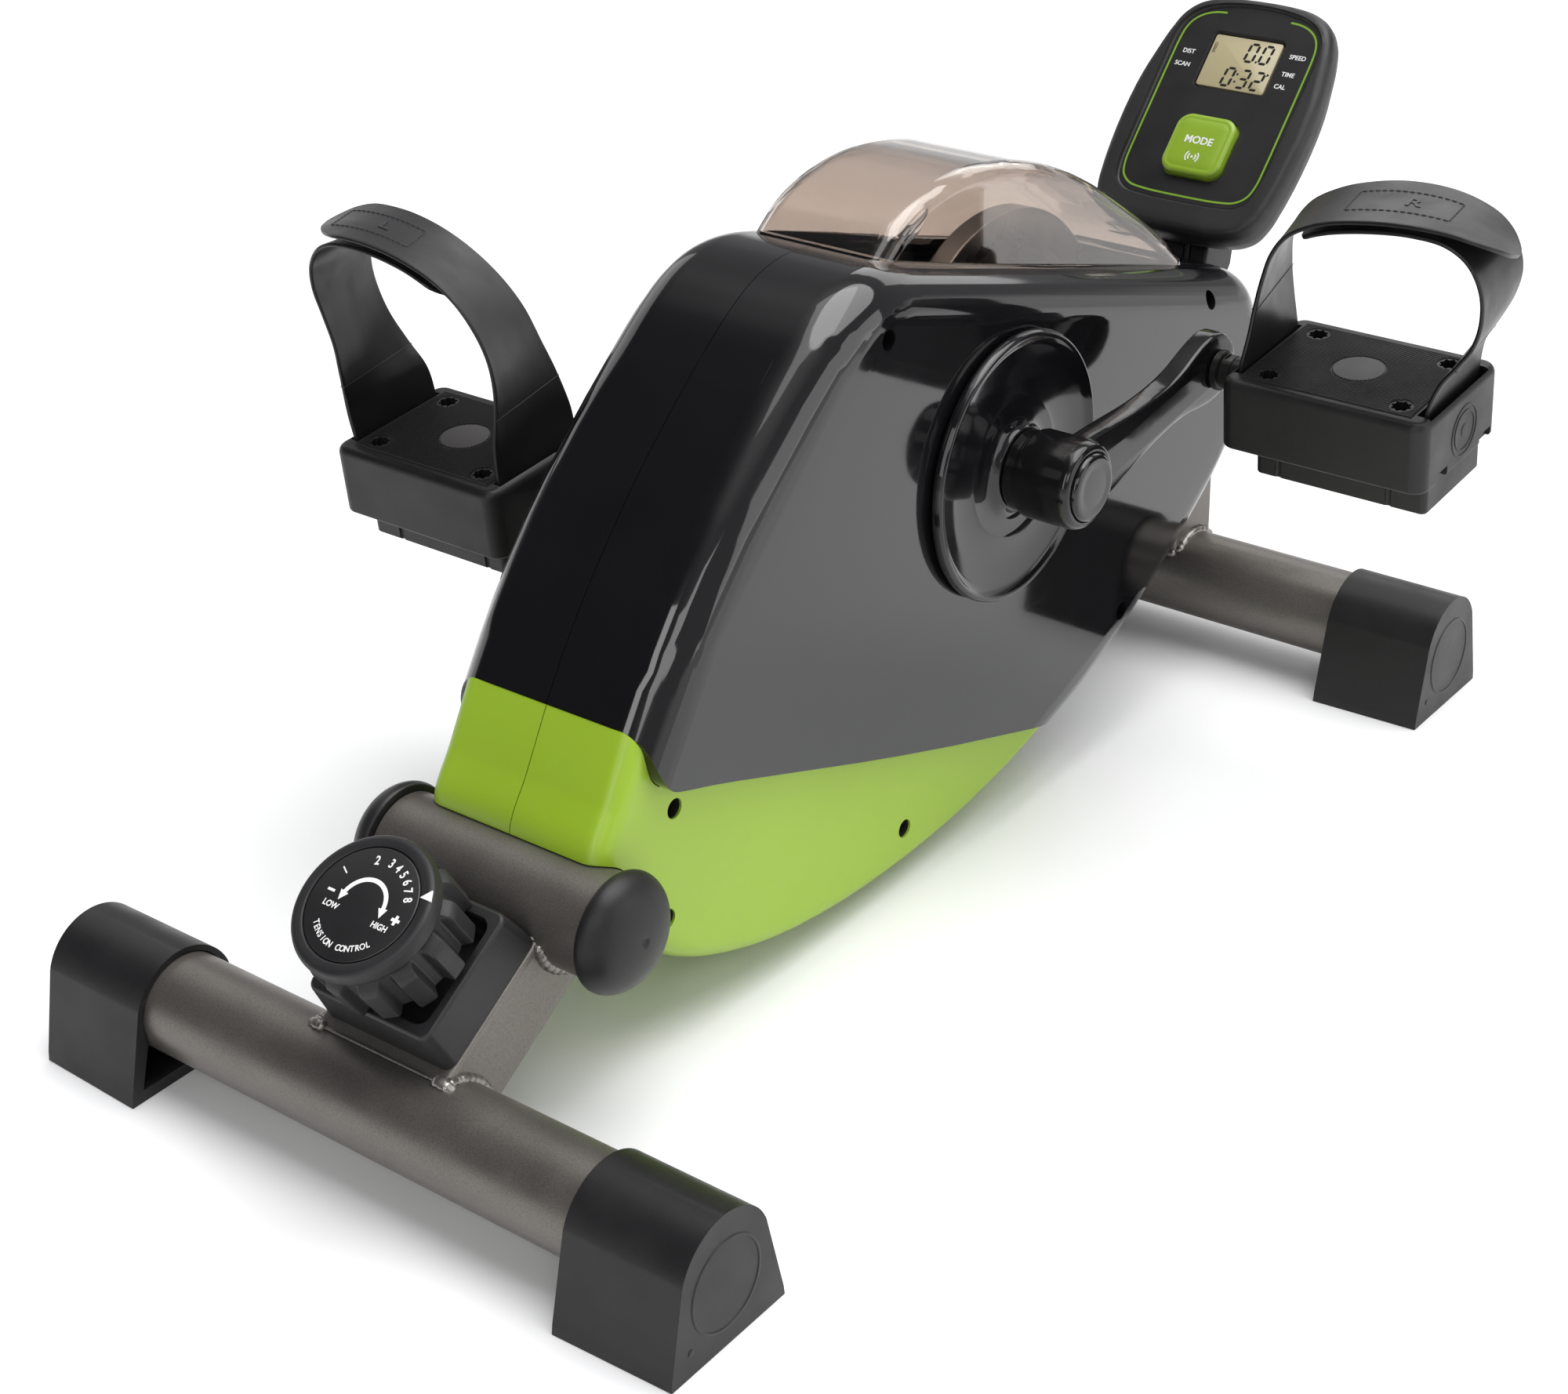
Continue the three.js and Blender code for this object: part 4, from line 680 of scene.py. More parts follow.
# ------------------------------------------------------------------ stabilizers and foot caps
def hollow_tube(name, r, wall, half, y, z, node, body=ROOT):
    prof = [(r - wall, -half), (r - 0.4, -half), (r, -half + 0.4), (r, half - 0.4), (r - 0.4, half), (r - wall, half)]
    ob = lathe(name, prof + [prof[0]], 96, "X", (0, y, z))
    return finish(ob, M_TUBE, body, [node])


hollow_tube("front_tube", TUBE_R, 2, BASE_W / 2 - 4, 0, TUBE_Z, "front_stabilizer_tube")
hollow_tube("rear_tube", TUBE_R, 2, BASE_W / 2 - 4, REAR_Y, TUBE_Z, "rear_stabilizer_tube")


def foot_ring(t_in):
    """arched section; t_in is 0 at the closed end and 1 at the open end"""
    pts = [(36.9, 0.0), (36.7, 1.6), (36.3, 5)]
    a0 = math.radians(18)
    for i in range(41):
        a = a0 + (math.pi - 2 * a0) * i / 40
        pts.append((28.5 * math.cos(a), 37.5 + 28.5 * math.sin(a)))
    pts += [(-36.3, 5), (-36.7, 1.6), (-36.9, 0.0)]
    out = []
    for y, z in pts:
        zf = 1 - min(max(z / 60, 0), 1)
        out.append((y * (1 + (39.0 / 36.9 - 1) * t_in * zf), z))
    return out


def foot_cap(name, node, side, y0):
    L = 62.6
    rings = []
    for k in range(13):
        t = 1 - k / 12
        rings.append([(-L * t, y, z) for y, z in foot_ring(t)])
    o = loft("cap", rings)
    boole(o, cyl("c", TUBE_R + 0.6, -L - 5, -3.7, (0, TUBE_Z), seg=96))
    boole(o, loft("h", [[(x, a, b) for a, b in ((-31.5, 6), (31.5, 6), (24, 30), (-24, 30))] for x in (-L - 5, -10)]))
    # shallow ring moulded in the outer face, and a small ejector mark
    ring = lathe("r", [(20.6, -0.6), (20.9, 0.28), (21.5, 0.45), (22.2, 0.28), (22.5, -0.6), (20.6, -0.6)], 96, "X", (0, 0, 31))
    dot = lathe("d", [(0, -0.4), (1.7, -0.4), (1.7, 0.2), (1.2, 0.35), (0, 0.35)], 24, "X", (0, -24, 12))
    finish_bevel(o, 1.7, 3)
    p = merge(name, [o, ring, dot])
    move(p, (Matrix.Identity(4) if side > 0 else MIRX) @ Matrix.Translation((BASE_W / 2 - 0.45, 0, 0)))
    move(p, Matrix.Translation((0, y0, 0)))
    finish(p, M_RUBBER, ROOT, [node])


def finish_bevel(ob, width, segs=2, angle=32, weld=0.004):
    bm = bmesh.new()
    bm.from_mesh(ob.data)
    bmesh.ops.remove_doubles(bm, verts=bm.verts, dist=weld)
    bmesh.ops.dissolve_limit(bm, angle_limit=math.radians(1.2), verts=bm.verts, edges=bm.edges)
    bm.to_mesh(ob.data)
    bm.free()
    md = ob.modifiers.new("bv", "BEVEL")
    md.width = width
    md.segments = segs
    md.limit_method = "ANGLE"
    md.angle_limit = math.radians(angle)
    md.use_clamp_overlap = True
    md.miter_outer = "MITER_ARC"
    return apply(ob)


for row, y0 in (("front", 0.0), ("rear", REAR_Y)):
    for tag, sd in (("right", 1), ("left", -1)):
        foot_cap(f"foot_{row}_{tag}", f"foot_cap_{row}_{tag}", sd, y0)

# ------------------------------------------------------------------ front frame: neck, cross tube and its domed caps, weld beads
def neck():
    pts = [neck_pt(-25, 0), neck_pt(95, 0), neck_pt(95, -NECK_H), neck_pt(-25, -NECK_H)]
    o = prism("neck", pts, -NECK_W / 2, NECK_W / 2)
    finish_bevel(o, 3.2, 4, 40)
    w = 2.5
    inner = prism("in", [neck_pt(-40, -w), neck_pt(110, -w), neck_pt(110, -NECK_H + w), neck_pt(-40, -NECK_H + w)], -NECK_W / 2 + w, NECK_W / 2 - w)
    boole(o, inner)
    lim = prism("lim", [neck_pt(-3, 40), neck_pt(82, 40), neck_pt(82, -80), neck_pt(-3, -80)], -60, 60)
    boole(o, lim, "INTERSECT")
    boole(o, cyl("a", TUBE_R + 0.15, -220, 220, (0, TUBE_Z), seg=96))
    boole(o, cyl("b", TUBE_R + 0.15, -90, 90, (CROSS_Y, CROSS_Z), seg=96))
    boole(o, cyl("h", 10, -15, 15, (0, KNOB_S), "Z", 48, NECK_F))
    # keep the biggest island
    bm = bmesh.new()
    bm.from_mesh(o.data)
    seen, best = set(), []
    for v in bm.verts:
        if v in seen:
            continue
        stack, isl = [v], []
        seen.add(v)
        while stack:
            q = stack.pop()
            isl.append(q)
            for e in q.link_edges:
                w2 = e.other_vert(q)
                if w2 not in seen:
                    seen.add(w2)
                    stack.append(w2)
        if len(isl) > len(best):
            best = isl
    keep = set(best)
    bmesh.ops.delete(bm, geom=[v for v in bm.verts if v not in keep], context="VERTS")
    bm.to_mesh(o.data)
    bm.free()
    finish(o, M_TUBE, ROOT, ["neck_box_tube"])


neck()


def bead(name, pts, r, n, seed, body=ROOT):
    """a hand-laid weld: overlapping puddles along a line"""
    path = [Vector(p) for p in spline(pts, n)]
    obs = []
    rr = random.Random(seed)
    sides = 12
    rings = []
    for i, p in enumerate(path):
        a, b = path[max(0, i - 1)], path[min(n - 1, i + 1)]
        t = (b - a).normalized()
        u = t.cross(Vector((0.21, 0.33, 0.91))).normalized()
        v = t.cross(u)
        s = r * (0.78 + 0.22 * abs(math.sin(i * 1.05)) + 0.10 * rr.random())
        if i in (0, n - 1):
            s *= 0.35
        elif i in (1, n - 2):
            s *= 0.8
        rings.append([tuple(p + u * (s * math.cos(2 * math.pi * j / sides)) + v * (s * math.sin(2 * math.pi * j / sides))) for j in range(sides)])
    o = loft(name, rings)
    finish(o, M_WELD, body, sharp=80)


M_WELD = material("painted_weld_bead", (0.21, 0.2, 0.185), rough=0.3, rough_var=0.06, metal=0.8, tint=0.12, tint_scale=60, flakes=0.3, bump=0.3, bump_scale=700,
                  bump2=0.25, bump2_scale=350, wear=0.4)


def side_curve(cy, cz, sgn, x):
    """where a side wall of the neck box meets a round tube"""
    out = []
    for k in range(15):
        n = -0.5 - 37.5 * k / 14
        dy, dz = cy - NECK_Y, cz - NECK_Z
        s0 = ND[0] * dy + ND[1] * dz
        n0 = NN[0] * dy + NN[1] * dz
        q = 25.6 ** 2 - (n - n0) ** 2
        if q <= 0:
            continue
        s = s0 + sgn * math.sqrt(q)
        y, z = neck_pt(s, n)
        out.append((x, y, z))
    return out


for sx in (1, -1):
    c = side_curve(0, TUBE_Z, 1, sx * 40.2)
    bead(f"weld_neck_front_{'right' if sx > 0 else 'left'}", c, 2.7, 34, 3 + sx)
    c = side_curve(CROSS_Y, CROSS_Z, -1, sx * 40.2)
    bead(f"weld_neck_cross_{'right' if sx > 0 else 'left'}", c, 2.9, 30, 9 + sx)
    y, z = neck_pt(-3.4, 0.4)
    bead(f"weld_corner_front_{'right' if sx > 0 else 'left'}", [(sx * 33, y, z), (sx * 38, y + 0.1, z + 0.1), (sx * 41.5, y + 0.6, z - 1.5), (sx * 41.8, y + 2, z - 5)], 2.9, 12, 20 + sx)
y, z = neck_pt(-3.2, 0.2)
bead("weld_neck_front_top", [(-34, y, z), (0, y, z), (34, y, z)], 0.9, 90, 31)
y, z = neck_pt(71.2, 0.4)
bead("weld_neck_cross_top", [(-38, y, z), (0, y, z), (38, y, z)], 1.4, 60, 32)

o = lathe("cross_bar", [(23, -63), (24.6, -63), (25, -62.6), (25, 62.6), (24.6, 63), (23, 63), (23, -63)], 96, "X", (0, CROSS_Y, CROSS_Z))
finish(o, M_TUBE, ROOT, ["cross_tube"])


def dome(name, node, sd):
    x0 = CROSS_L / 2 + 0.3
    k = [(21.8, x0), (27.5, x0), (28.2, x0 + 0.5), (28.7, x0 + 1.8), (28.8, x0 + 3.2), (28.4, x0 + 5.2), (27.6, x0 + 7.0), (26.0, x0 + 9.4), (23.0, x0 + 12.2), (18.9, x0 + 14.5),
         (13.8, x0 + 16.1), (8.0, x0 + 17.1), (3.2, x0 + 17.4)]
    outer = spline(k[1:], 40)
    # gate dimple in the middle
    prof = [(0, x0 - 10), (21.8, x0 - 10), (21.8, x0)] + outer + [(2.4, x0 + 17.1), (1.6, x0 + 16.6), (0, x0 + 16.5)]
    o = lathe(name, prof, 96, "X", (0, CROSS_Y, CROSS_Z))
    if sd < 0:
        move(o, MIRX)
    finish(o, M_RUBBER, ROOT, [node])


dome("cross_bar_cap_right", "cross_tube_cap_right", 1)
dome("cross_bar_cap_left", "cross_tube_cap_left", -1)

# ------------------------------------------------------------------ rear post and its weld
def rear_post():
    o = boxm("post", -25, 25, 632, 672, 30, 152)
    finish_bevel(o, 3.0, 4)
    boole(o, boxm("i", -22.5, 22.5, 634.5, 669.5, 20, 149.5))
    boole(o, cyl("t", TUBE_R + 0.15, -60, 60, (REAR_Y, TUBE_Z), seg=96))
    bm = bmesh.new()
    bm.from_mesh(o.data)
    bmesh.ops.delete(bm, geom=[v for v in bm.verts if v.co.z < TUBE_Z - 1], context="VERTS")
    bm.to_mesh(o.data)
    bm.free()
    finish(o, M_TUBE, ROOT, ["rear_post"])


rear_post()
for sx in (1, -1):
    pts = []
    for k in range(15):
        yy = 633 + 38 * k / 14
        q = 25.5 ** 2 - (yy - REAR_Y) ** 2
        pts.append((sx * 25.2, yy, TUBE_Z + math.sqrt(max(1, q))))
    bead(f"weld_post_{'right' if sx > 0 else 'left'}", pts, 2.9, 26, 40 + sx)
for yy, tag in ((632.2, "front"), (671.8, "back")):
    zz = TUBE_Z + math.sqrt(25.5 ** 2 - (yy - REAR_Y) ** 2)
    bead(f"weld_post_{tag}", [(-25, yy, zz), (0, yy, zz), (25, yy, zz)], 2.6, 34, 50 + len(tag))

# ------------------------------------------------------------------ housing shells, covers and screws
OUTLINE = [(91.3, 129.6), (105.8, 154.8), (122.5, 183), (140, 208.8), (160.3, 233.6), (183, 258), (209.9, 283),
    (240, 307.4), (262, 322.6), (280, 331.6), (296, 335.2), (313, 335.6),
    (470, 286.9), (634, 236.2), (645, 231.5), (654, 224), (660, 214), (662, 202),
    (659, 180), (650, 153.5), (632, 128), (600, 101.5), (560, 76.5), (515, 54), (465, 34.8), (414, 21.5), (362, 14),
    (310, 12), (262, 14.6), (216, 22.2), (175, 35.4), (143, 52.4), (117, 76.5), (101, 104)]
PART = [(70, 212), (122.0, 181.6), (124.6, 175), (126.4, 165), (129.4, 156), (133.5, 151.4), (140, 148.6), (162, 141.2), (218.8, 120.2),
    (273.7, 99.2), (346.7, 73.2), (404.2, 54.2), (442, 41.3), (490, 22.7)]
BLACK_SCREWS = [(298.5, 309), (597, 232.4), (510, 81)]
GREEN_SCREWS = [(143.4, 135.0), (134.5, 80.5), (318.7, 35.5)]
SP = (101.0, 133.0)


def top_z(y):
    return 335.6 - (y - 313) * (335.6 - 236.2) / (634 - 313)


def spine_z(y):
    return SP[0] + (y - CROSS_Y) * (SP[1] - SP[0]) / (REAR_Y - CROSS_Y)


RING = spline(OUTLINE, 300, True)
# the black shells end above the nose, so their ring rounds it off
RING_WIDE = spline([(99.5, 137), (107.0, 157)] + OUTLINE[2:-1] + [(104, 98), (98.0, 118)], 300, True)


def calm(ring, passes=500, lam=0.5, mu=-0.51):
    """evens out short waves along a dense ring without shrinking it"""
    q = [(a, b) for a, b in ring]
    n = len(q)
    for _ in range(passes):
        for k in (lam, mu):
            q = [(q[i][0] + k * ((q[i - 1][0] + q[(i + 1) % n][0]) / 2 - q[i][0]),
                  q[i][1] + k * ((q[i - 1][1] + q[(i + 1) % n][1]) / 2 - q[i][1])) for i in range(n)]
    return q


RING_WIDE = calm(RING_WIDE)


def bevel_now(ob, bevel, segs=3, angle=40):
    bm = bmesh.new()
    bm.from_mesh(ob.data)
    bmesh.ops.remove_doubles(bm, verts=bm.verts, dist=0.004)
    bmesh.ops.dissolve_limit(bm, angle_limit=math.radians(1.2), verts=bm.verts, edges=bm.edges)
    bm.to_mesh(ob.data)
    bm.free()
    md = ob.modifiers.new("bv", "BEVEL")
    md.width = bevel
    md.segments = segs
    md.limit_method = "ANGLE"
    md.angle_limit = math.radians(angle)
    md.use_clamp_overlap = True
    md.miter_outer = "MITER_ARC"
    apply(ob)
WIN = [(322, 331.5), (330, 338), (341, 345.5), (356, 351.5), (373, 355), (390, 356.3), (410, 355), (437, 350), (465, 341.5), (490, 330.5), (514, 317.5),
    (538, 302), (564, 284), (587, 266.5), (604, 251)]


def part_line(d):
    """smoothed parting line, moved up by d"""
    mid = spline(PART[1:12], 90)
    pts = [PART[0]] + mid + [PART[12], PART[13]]
    return [(a, b + d) for a, b in pts]


def housing():
    black = rounded_slab("black", RING_WIDE, -BLACK_HALF, BLACK_HALF, 25, 16)
    green = rounded_slab("green", RING, -GREEN_HALF, GREEN_HALF, 11, 8)
    boole(black, prism("m", part_line(0.16) + [(800, 20), (800, 420), (70, 420)], -90, 90), "INTERSECT")
    boole(green, prism("m", part_line(-0.22) + [(490, -20), (40, -20), (40, 212)], -90, 90), "INTERSECT")
    small = inset(RING, WALL)
    # the black shells are wider than the covers, and turn in to them with a lip along the parting line
    cav = rounded_slab("i", inset(RING_WIDE, WALL), -BLACK_HALF + WALL, BLACK_HALF - WALL, 21, 6)
    boole(cav, prism("l", part_line(3.16) + [(800, 23), (800, 420), (70, 420)], -90, 90), "INTERSECT")
    boole(black, cav)
    boole(black, rounded_slab("gi", small, -GREEN_HALF + WALL, GREEN_HALF - WALL, 8, 4))
    boole(green, rounded_slab("i", small, -GREEN_HALF + WALL, GREEN_HALF - WALL, 8, 4))
    boole(black, prism("w", [(334, 315), (334, 400), (599, 400), (599, 225)], -36.4, 36.4))
    sp = [(SP_Y, spine_z(SP_Y) + s * 15.3) for SP_Y, s in ((CROSS_Y, -1), (800, -1), (800, 1), (CROSS_Y, 1))]
    for o in (black, green):
        boole(o, prism("s", sp, -18.3, 18.3))
        boole(o, boxm("p", -26, 26, 631, 700, 40, 153))
    boole(black, cyl("x", 20, -80, 80, (BB_Y, BB_Z)))
    boole(green, cyl("c", TUBE_R + 0.6, -90, 90, (CROSS_Y, CROSS_Z), seg=96))
    for nm, src, half, screws, sx, mat, sl, bev in (
            ("shell_right", black, BLACK_HALF, BLACK_SCREWS, 1, M_GLOSS, "gloss_black", 0.55),
            ("shell_left", black, BLACK_HALF, BLACK_SCREWS, -1, M_GLOSS, "gloss_black", 0.55),
            ("cover_right", green, GREEN_HALF, GREEN_SCREWS, 1, M_GREEN, "green_plastic", 0.5),
            ("cover_left", green, GREEN_HALF, GREEN_SCREWS, -1, M_GREEN, "green_plastic", 0.5)):
        o = copy(src, nm)
        seam = 0.3 if half == GREEN_HALF else 0.2
        boole(o, boxm("h", seam, 90, 0, 800, -10, 420) if sx > 0 else boxm("h", -90, -seam, 0, 800, -10, 420), "INTERSECT")
        if sx > 0:
            for (y, z) in screws:
                post = cyl("q", 8, 30, half - 1.5, (y, z), seg=32)
                if half == GREEN_HALF:
                    # a corner post stays inside the cover
                    lim = rounded_slab("l", RING, -GREEN_HALF, GREEN_HALF, 11, 8)
                    boole(post, lim, "INTERSECT")
                    boole(post, cyl("c", 30, -90, 90, (CROSS_Y, CROSS_Z), seg=64))
                if half == BLACK_HALF:
                    boole(post, rounded_slab("l", RING_WIDE, -BLACK_HALF, BLACK_HALF, 25, 16), "INTERSECT")
                boole(o, post, "UNION")
                boole(o, cyl("v", 5, half - 18, half + 5, (y, z), seg=40))
        if sx > 0 and half == GREEN_HALF:
            bevel_now(o, bev)
            only(o, mat)
            obs = [o]
            for (y, z) in screws:
                # dark sleeve in each counterbore: partly the black inner post, partly painted shade for the deep hole
                bore_shade_sleeve = lathe("sl", [(4.5, half - 17.9), (5.04, half - 17.9), (5.04, half - 1.3), (4.86, half - 1.2), (4.5, half - 3.0), (4.5, half - 17.9)], 40, "X", (0, y, z))
                boole(bore_shade_sleeve, boxm("k", -200, half - 0.9, 0, 800, -100, 500), "INTERSECT")
                # painted shade: the sleeve darkens the bore walls
                only(bore_shade_sleeve, M_POST_AND_BORE_SHADE)
                obs.append(bore_shade_sleeve)
            finish(merge(nm, obs), None, ROOT, ["lower_cover_right"], sharp=35)
            continue
        node = {"shell_right": "housing_right", "shell_left": "housing_left", "cover_right": "lower_cover_right", "cover_left": "lower_cover_left"}[nm]
        finish(o, mat, ROOT, [node], bevel=bev, segs=3, angle=40, sharp=35)
    drop(black)
    drop(green)


housing()


def screw(name, y, z, half, node=None):
    x = half - 17.7
    o = lathe(name, [(0, x), (4.2, x), (4.2, x + 1.6), (3.9, x + 2.3), (3.0, x + 2.9), (1.6, x + 3.15), (0, x + 3.2)], 32, "X", (0, y, z))
    boole(o, boxm("a", x + 1.4, x + 5, y - 2.6, y + 2.6, z - 0.55, z + 0.55))
    boole(o, boxm("b", x + 1.4, x + 5, y - 0.55, y + 0.55, z - 2.6, z + 2.6))
    finish(o, M_STEEL, ROOT, [node] if node else ())


screw("screw_front_upper", *GREEN_SCREWS[0], GREEN_HALF, "housing_screw_front_upper")
screw("screw_front_lower", *GREEN_SCREWS[1], GREEN_HALF, "housing_screw_front_lower")
screw("screw_belly", *GREEN_SCREWS[2], GREEN_HALF, "housing_screw_belly")
screw("screw_top", *BLACK_SCREWS[0], BLACK_HALF, "housing_screw_top")
screw("screw_rear_upper", *BLACK_SCREWS[1], BLACK_HALF)
screw("screw_rear_lower", *BLACK_SCREWS[2], BLACK_HALF)

# ------------------------------------------------------------------ smoked window
def window():
    arc = spline(WIN, 90)
    y0, y1 = WIN[0][0], WIN[-1][0]
    def ring(d, down):
        # arc moved inwards by d, closed well below the top face
        pts = [(y1 + 5, top_z(y1) - down), (y0 - 5, top_z(y0) - down)]
        full = arc + pts
        return inset(full, d) if d else full
    o = rounded_slab("win", ring(0, 45), -40, 40, 10, 8)
    i = rounded_slab("i", ring(2.4, 45), -37.6, 37.6, 8, 6)
    boole(o, i)
    boole(o, prism("a", [(280, top_z(280) + 0.32), (700, top_z(700) + 0.32), (700, 420), (280, 420)], -80, 80), "INTERSECT")
    finish(o, M_SMOKE, ROOT, ["flywheel_window"], bevel=0.35, segs=2, angle=50, sharp=50)


window()

# ------------------------------------------------------------------ flywheel and the parts seen through the window
rim = [(10, FW_X0 + 3), (20, FW_X0 + 3), (22, FW_X0 + 4.5), (75, FW_X0 + 4.5), (78.5, FW_X0 + 0.3), (79.5, FW_X0), (FW_R - 1.2, FW_X0), (FW_R - 0.3, FW_X0 + 0.4), (FW_R, FW_X0 + 1.2),
       (FW_R, FW_X1 - 1.2), (FW_R - 0.3, FW_X1 - 0.4), (FW_R - 1.2, FW_X1), (79.5, FW_X1), (78.5, FW_X1 - 0.3), (75, FW_X1 - 4.5), (22, FW_X1 - 4.5), (20, FW_X1 - 1), (10, FW_X1 - 1)]
o = lathe("flywheel_disc", rim + [rim[0]], 128, "X", (0, FW_Y, FW_Z))
finish(o, M_CAST, FLY, ["flywheel"], sharp=30)
for nd, mt in (("flywheel_axle", M_STEEL), ("flywheel_pulley", M_STEEL), ("drive_pulley", M_SATIN), ("drive_belt", M_BELT), ("crank_axle", M_STEEL),
               ("crank_bearing_cartridge", M_STEEL), ("flywheel_bearing_cartridge", M_STEEL), ("bottom_bracket_shell", M_TUBE), ("flywheel_axle_shell", M_TUBE),
               ("spine_beam", M_TUBE), ("magnet_bracket", M_STEEL), ("brake_return_spring", M_STEEL), ("tension_cable", M_BELT)):
    dress(nd, mt)

# ------------------------------------------------------------------ tension control: bezel, turning knob, printed dial
def smooth01(t):
    t = min(1.0, max(0.0, t))
    return t * t * (3 - 2 * t)


def bezel():
    lower = round_rect(77, 70, 5.5, 10, 0, 37.5)
    rings = []
    for z in (0.3, 1.2, 8, 16, 22.2):
        t = (z - 0.3) / 24
        rings.append([((x) * (1 - 0.06 * t), 37.5 + (y - 37.5) * (1 - 0.07 * t), z) for x, y in lower])
    for k in range(1, 5):
        a = math.pi / 2 * k / 4
        z = 22.2 + 1.7 * math.sin(a)
        d = 1.7 * (1 - math.cos(a))
        t = (z - 0.3) / 24
        base = [((x) * (1 - 0.06 * t), 37.5 + (y - 37.5) * (1 - 0.07 * t)) for x, y in lower]
        rings.append([(x, y, z) for x, y in inset(base, d)])
    o = loft("bez", rings)
    hole = []
    rr = round_rect(61, 53, 5.5, 10, 0, 37.5)
    for z, d in ((9, 2.2), (10.2, 0.8), (11.6, 0.2), (22.2, 0.0), (23.3, -0.35), (24.0, -1.1), (25, -2.2), (40, -3)):
        hole.append([(x, y, z) for x, y in inset(rr, d)])
    boole(o, loft("h", hole))
    boole(o, cyl("s", 9.5, -20, 20, (0, KNOB_S), "Z", 48))
    move(o, NECK_F)
    boole(o, cyl("t", TUBE_R + 0.4, -90, 90, (0, TUBE_Z), seg=96))
    boole(o, cyl("u", TUBE_R + 0.4, -90, 90, (CROSS_Y, CROSS_Z), seg=96))
    finish(o, M_SATIN, ROOT, ["knob_bezel"], sharp=35)


bezel()


def knob():
    nth = 288
    prof = [(3.6, 12.0), (7.5, 12.0), (7.5, 26.0), (9.0, 27.0), (24.0, 27.0), (29.0, 27.2), (30.6, 27.9), (31.1, 29.2)]
    prof += [(31.1 + 0.5 * k / 11, 29.2 + 24.6 * k / 11) for k in range(1, 12)]
    prof += [(31.8, 54.9), (32.3, 55.8), (33.2, 56.7), (34.1, 57.5), (34.6, 58.5), (34.7, 59.6), (34.7, 62.0), (34.55, 63.2), (34.1, 64.3), (33.4, 65.1), (32.4, 65.7), (31.0, 66.0),
             (29.2, 65.9), (28.35, 65.65), (28.0, 65.2), (27.9, 64.4), (14.0, 64.4), (3.6, 64.4)]
    verts = []
    for i in range(nth):
        th = 2 * math.pi * i / nth
        ph = ((th * 12 / (2 * math.pi) + 0.5) % 1.0) - 0.5
        side = smooth01((0.36 - abs(ph)) / 0.15)
        for r, z in prof:
            h = 0.0
            if 27.0 <= z <= 54.5 and r > 23:
                top = smooth01((53.6 - z) / 3.4)
                low = smooth01((z - 26.4) / 1.6)
                h = 4.35 * side * top * (0.55 + 0.45 * low) * smooth01((r - 23.5) / 6)
            rr = r + h
            # bottom edge between the lobes is scooped up
            zz = z
            if z < 29.5 and r > 23:
                zz = z + 2.6 * (1 - side) * smooth01((r - 23.5) / 7) * (1 - smooth01((z - 27.0) / 2.6) * 0.6)
            verts.append((rr * math.cos(th), KNOB_S + rr * math.sin(th), zz))
    n = len(prof)
    f = grid_faces(nth, n, True, True)
    o = mesh_ob("knob_ring", verts, f)
    # pointer printed on the rim
    a = math.radians(27)
    c, s = math.cos(a), math.sin(a)
    tri = []
    for u, v in ((-2.9, 0), (2.5, -2.7), (2.5, 2.7)):
        r = 31.0 + u
        tri.append((r * c - v * s, KNOB_S + r * s + v * c))
    t = prism("tri", tri, 65.2, 66.08, "XY")
    only(t, M_WHITE)
    only(o, M_SATIN)
    p = merge("tension_knob_ring", [o, t])
    move(p, NECK_F)
    finish(p, None, KNOB, ["tension_knob"], sharp=42)


knob()


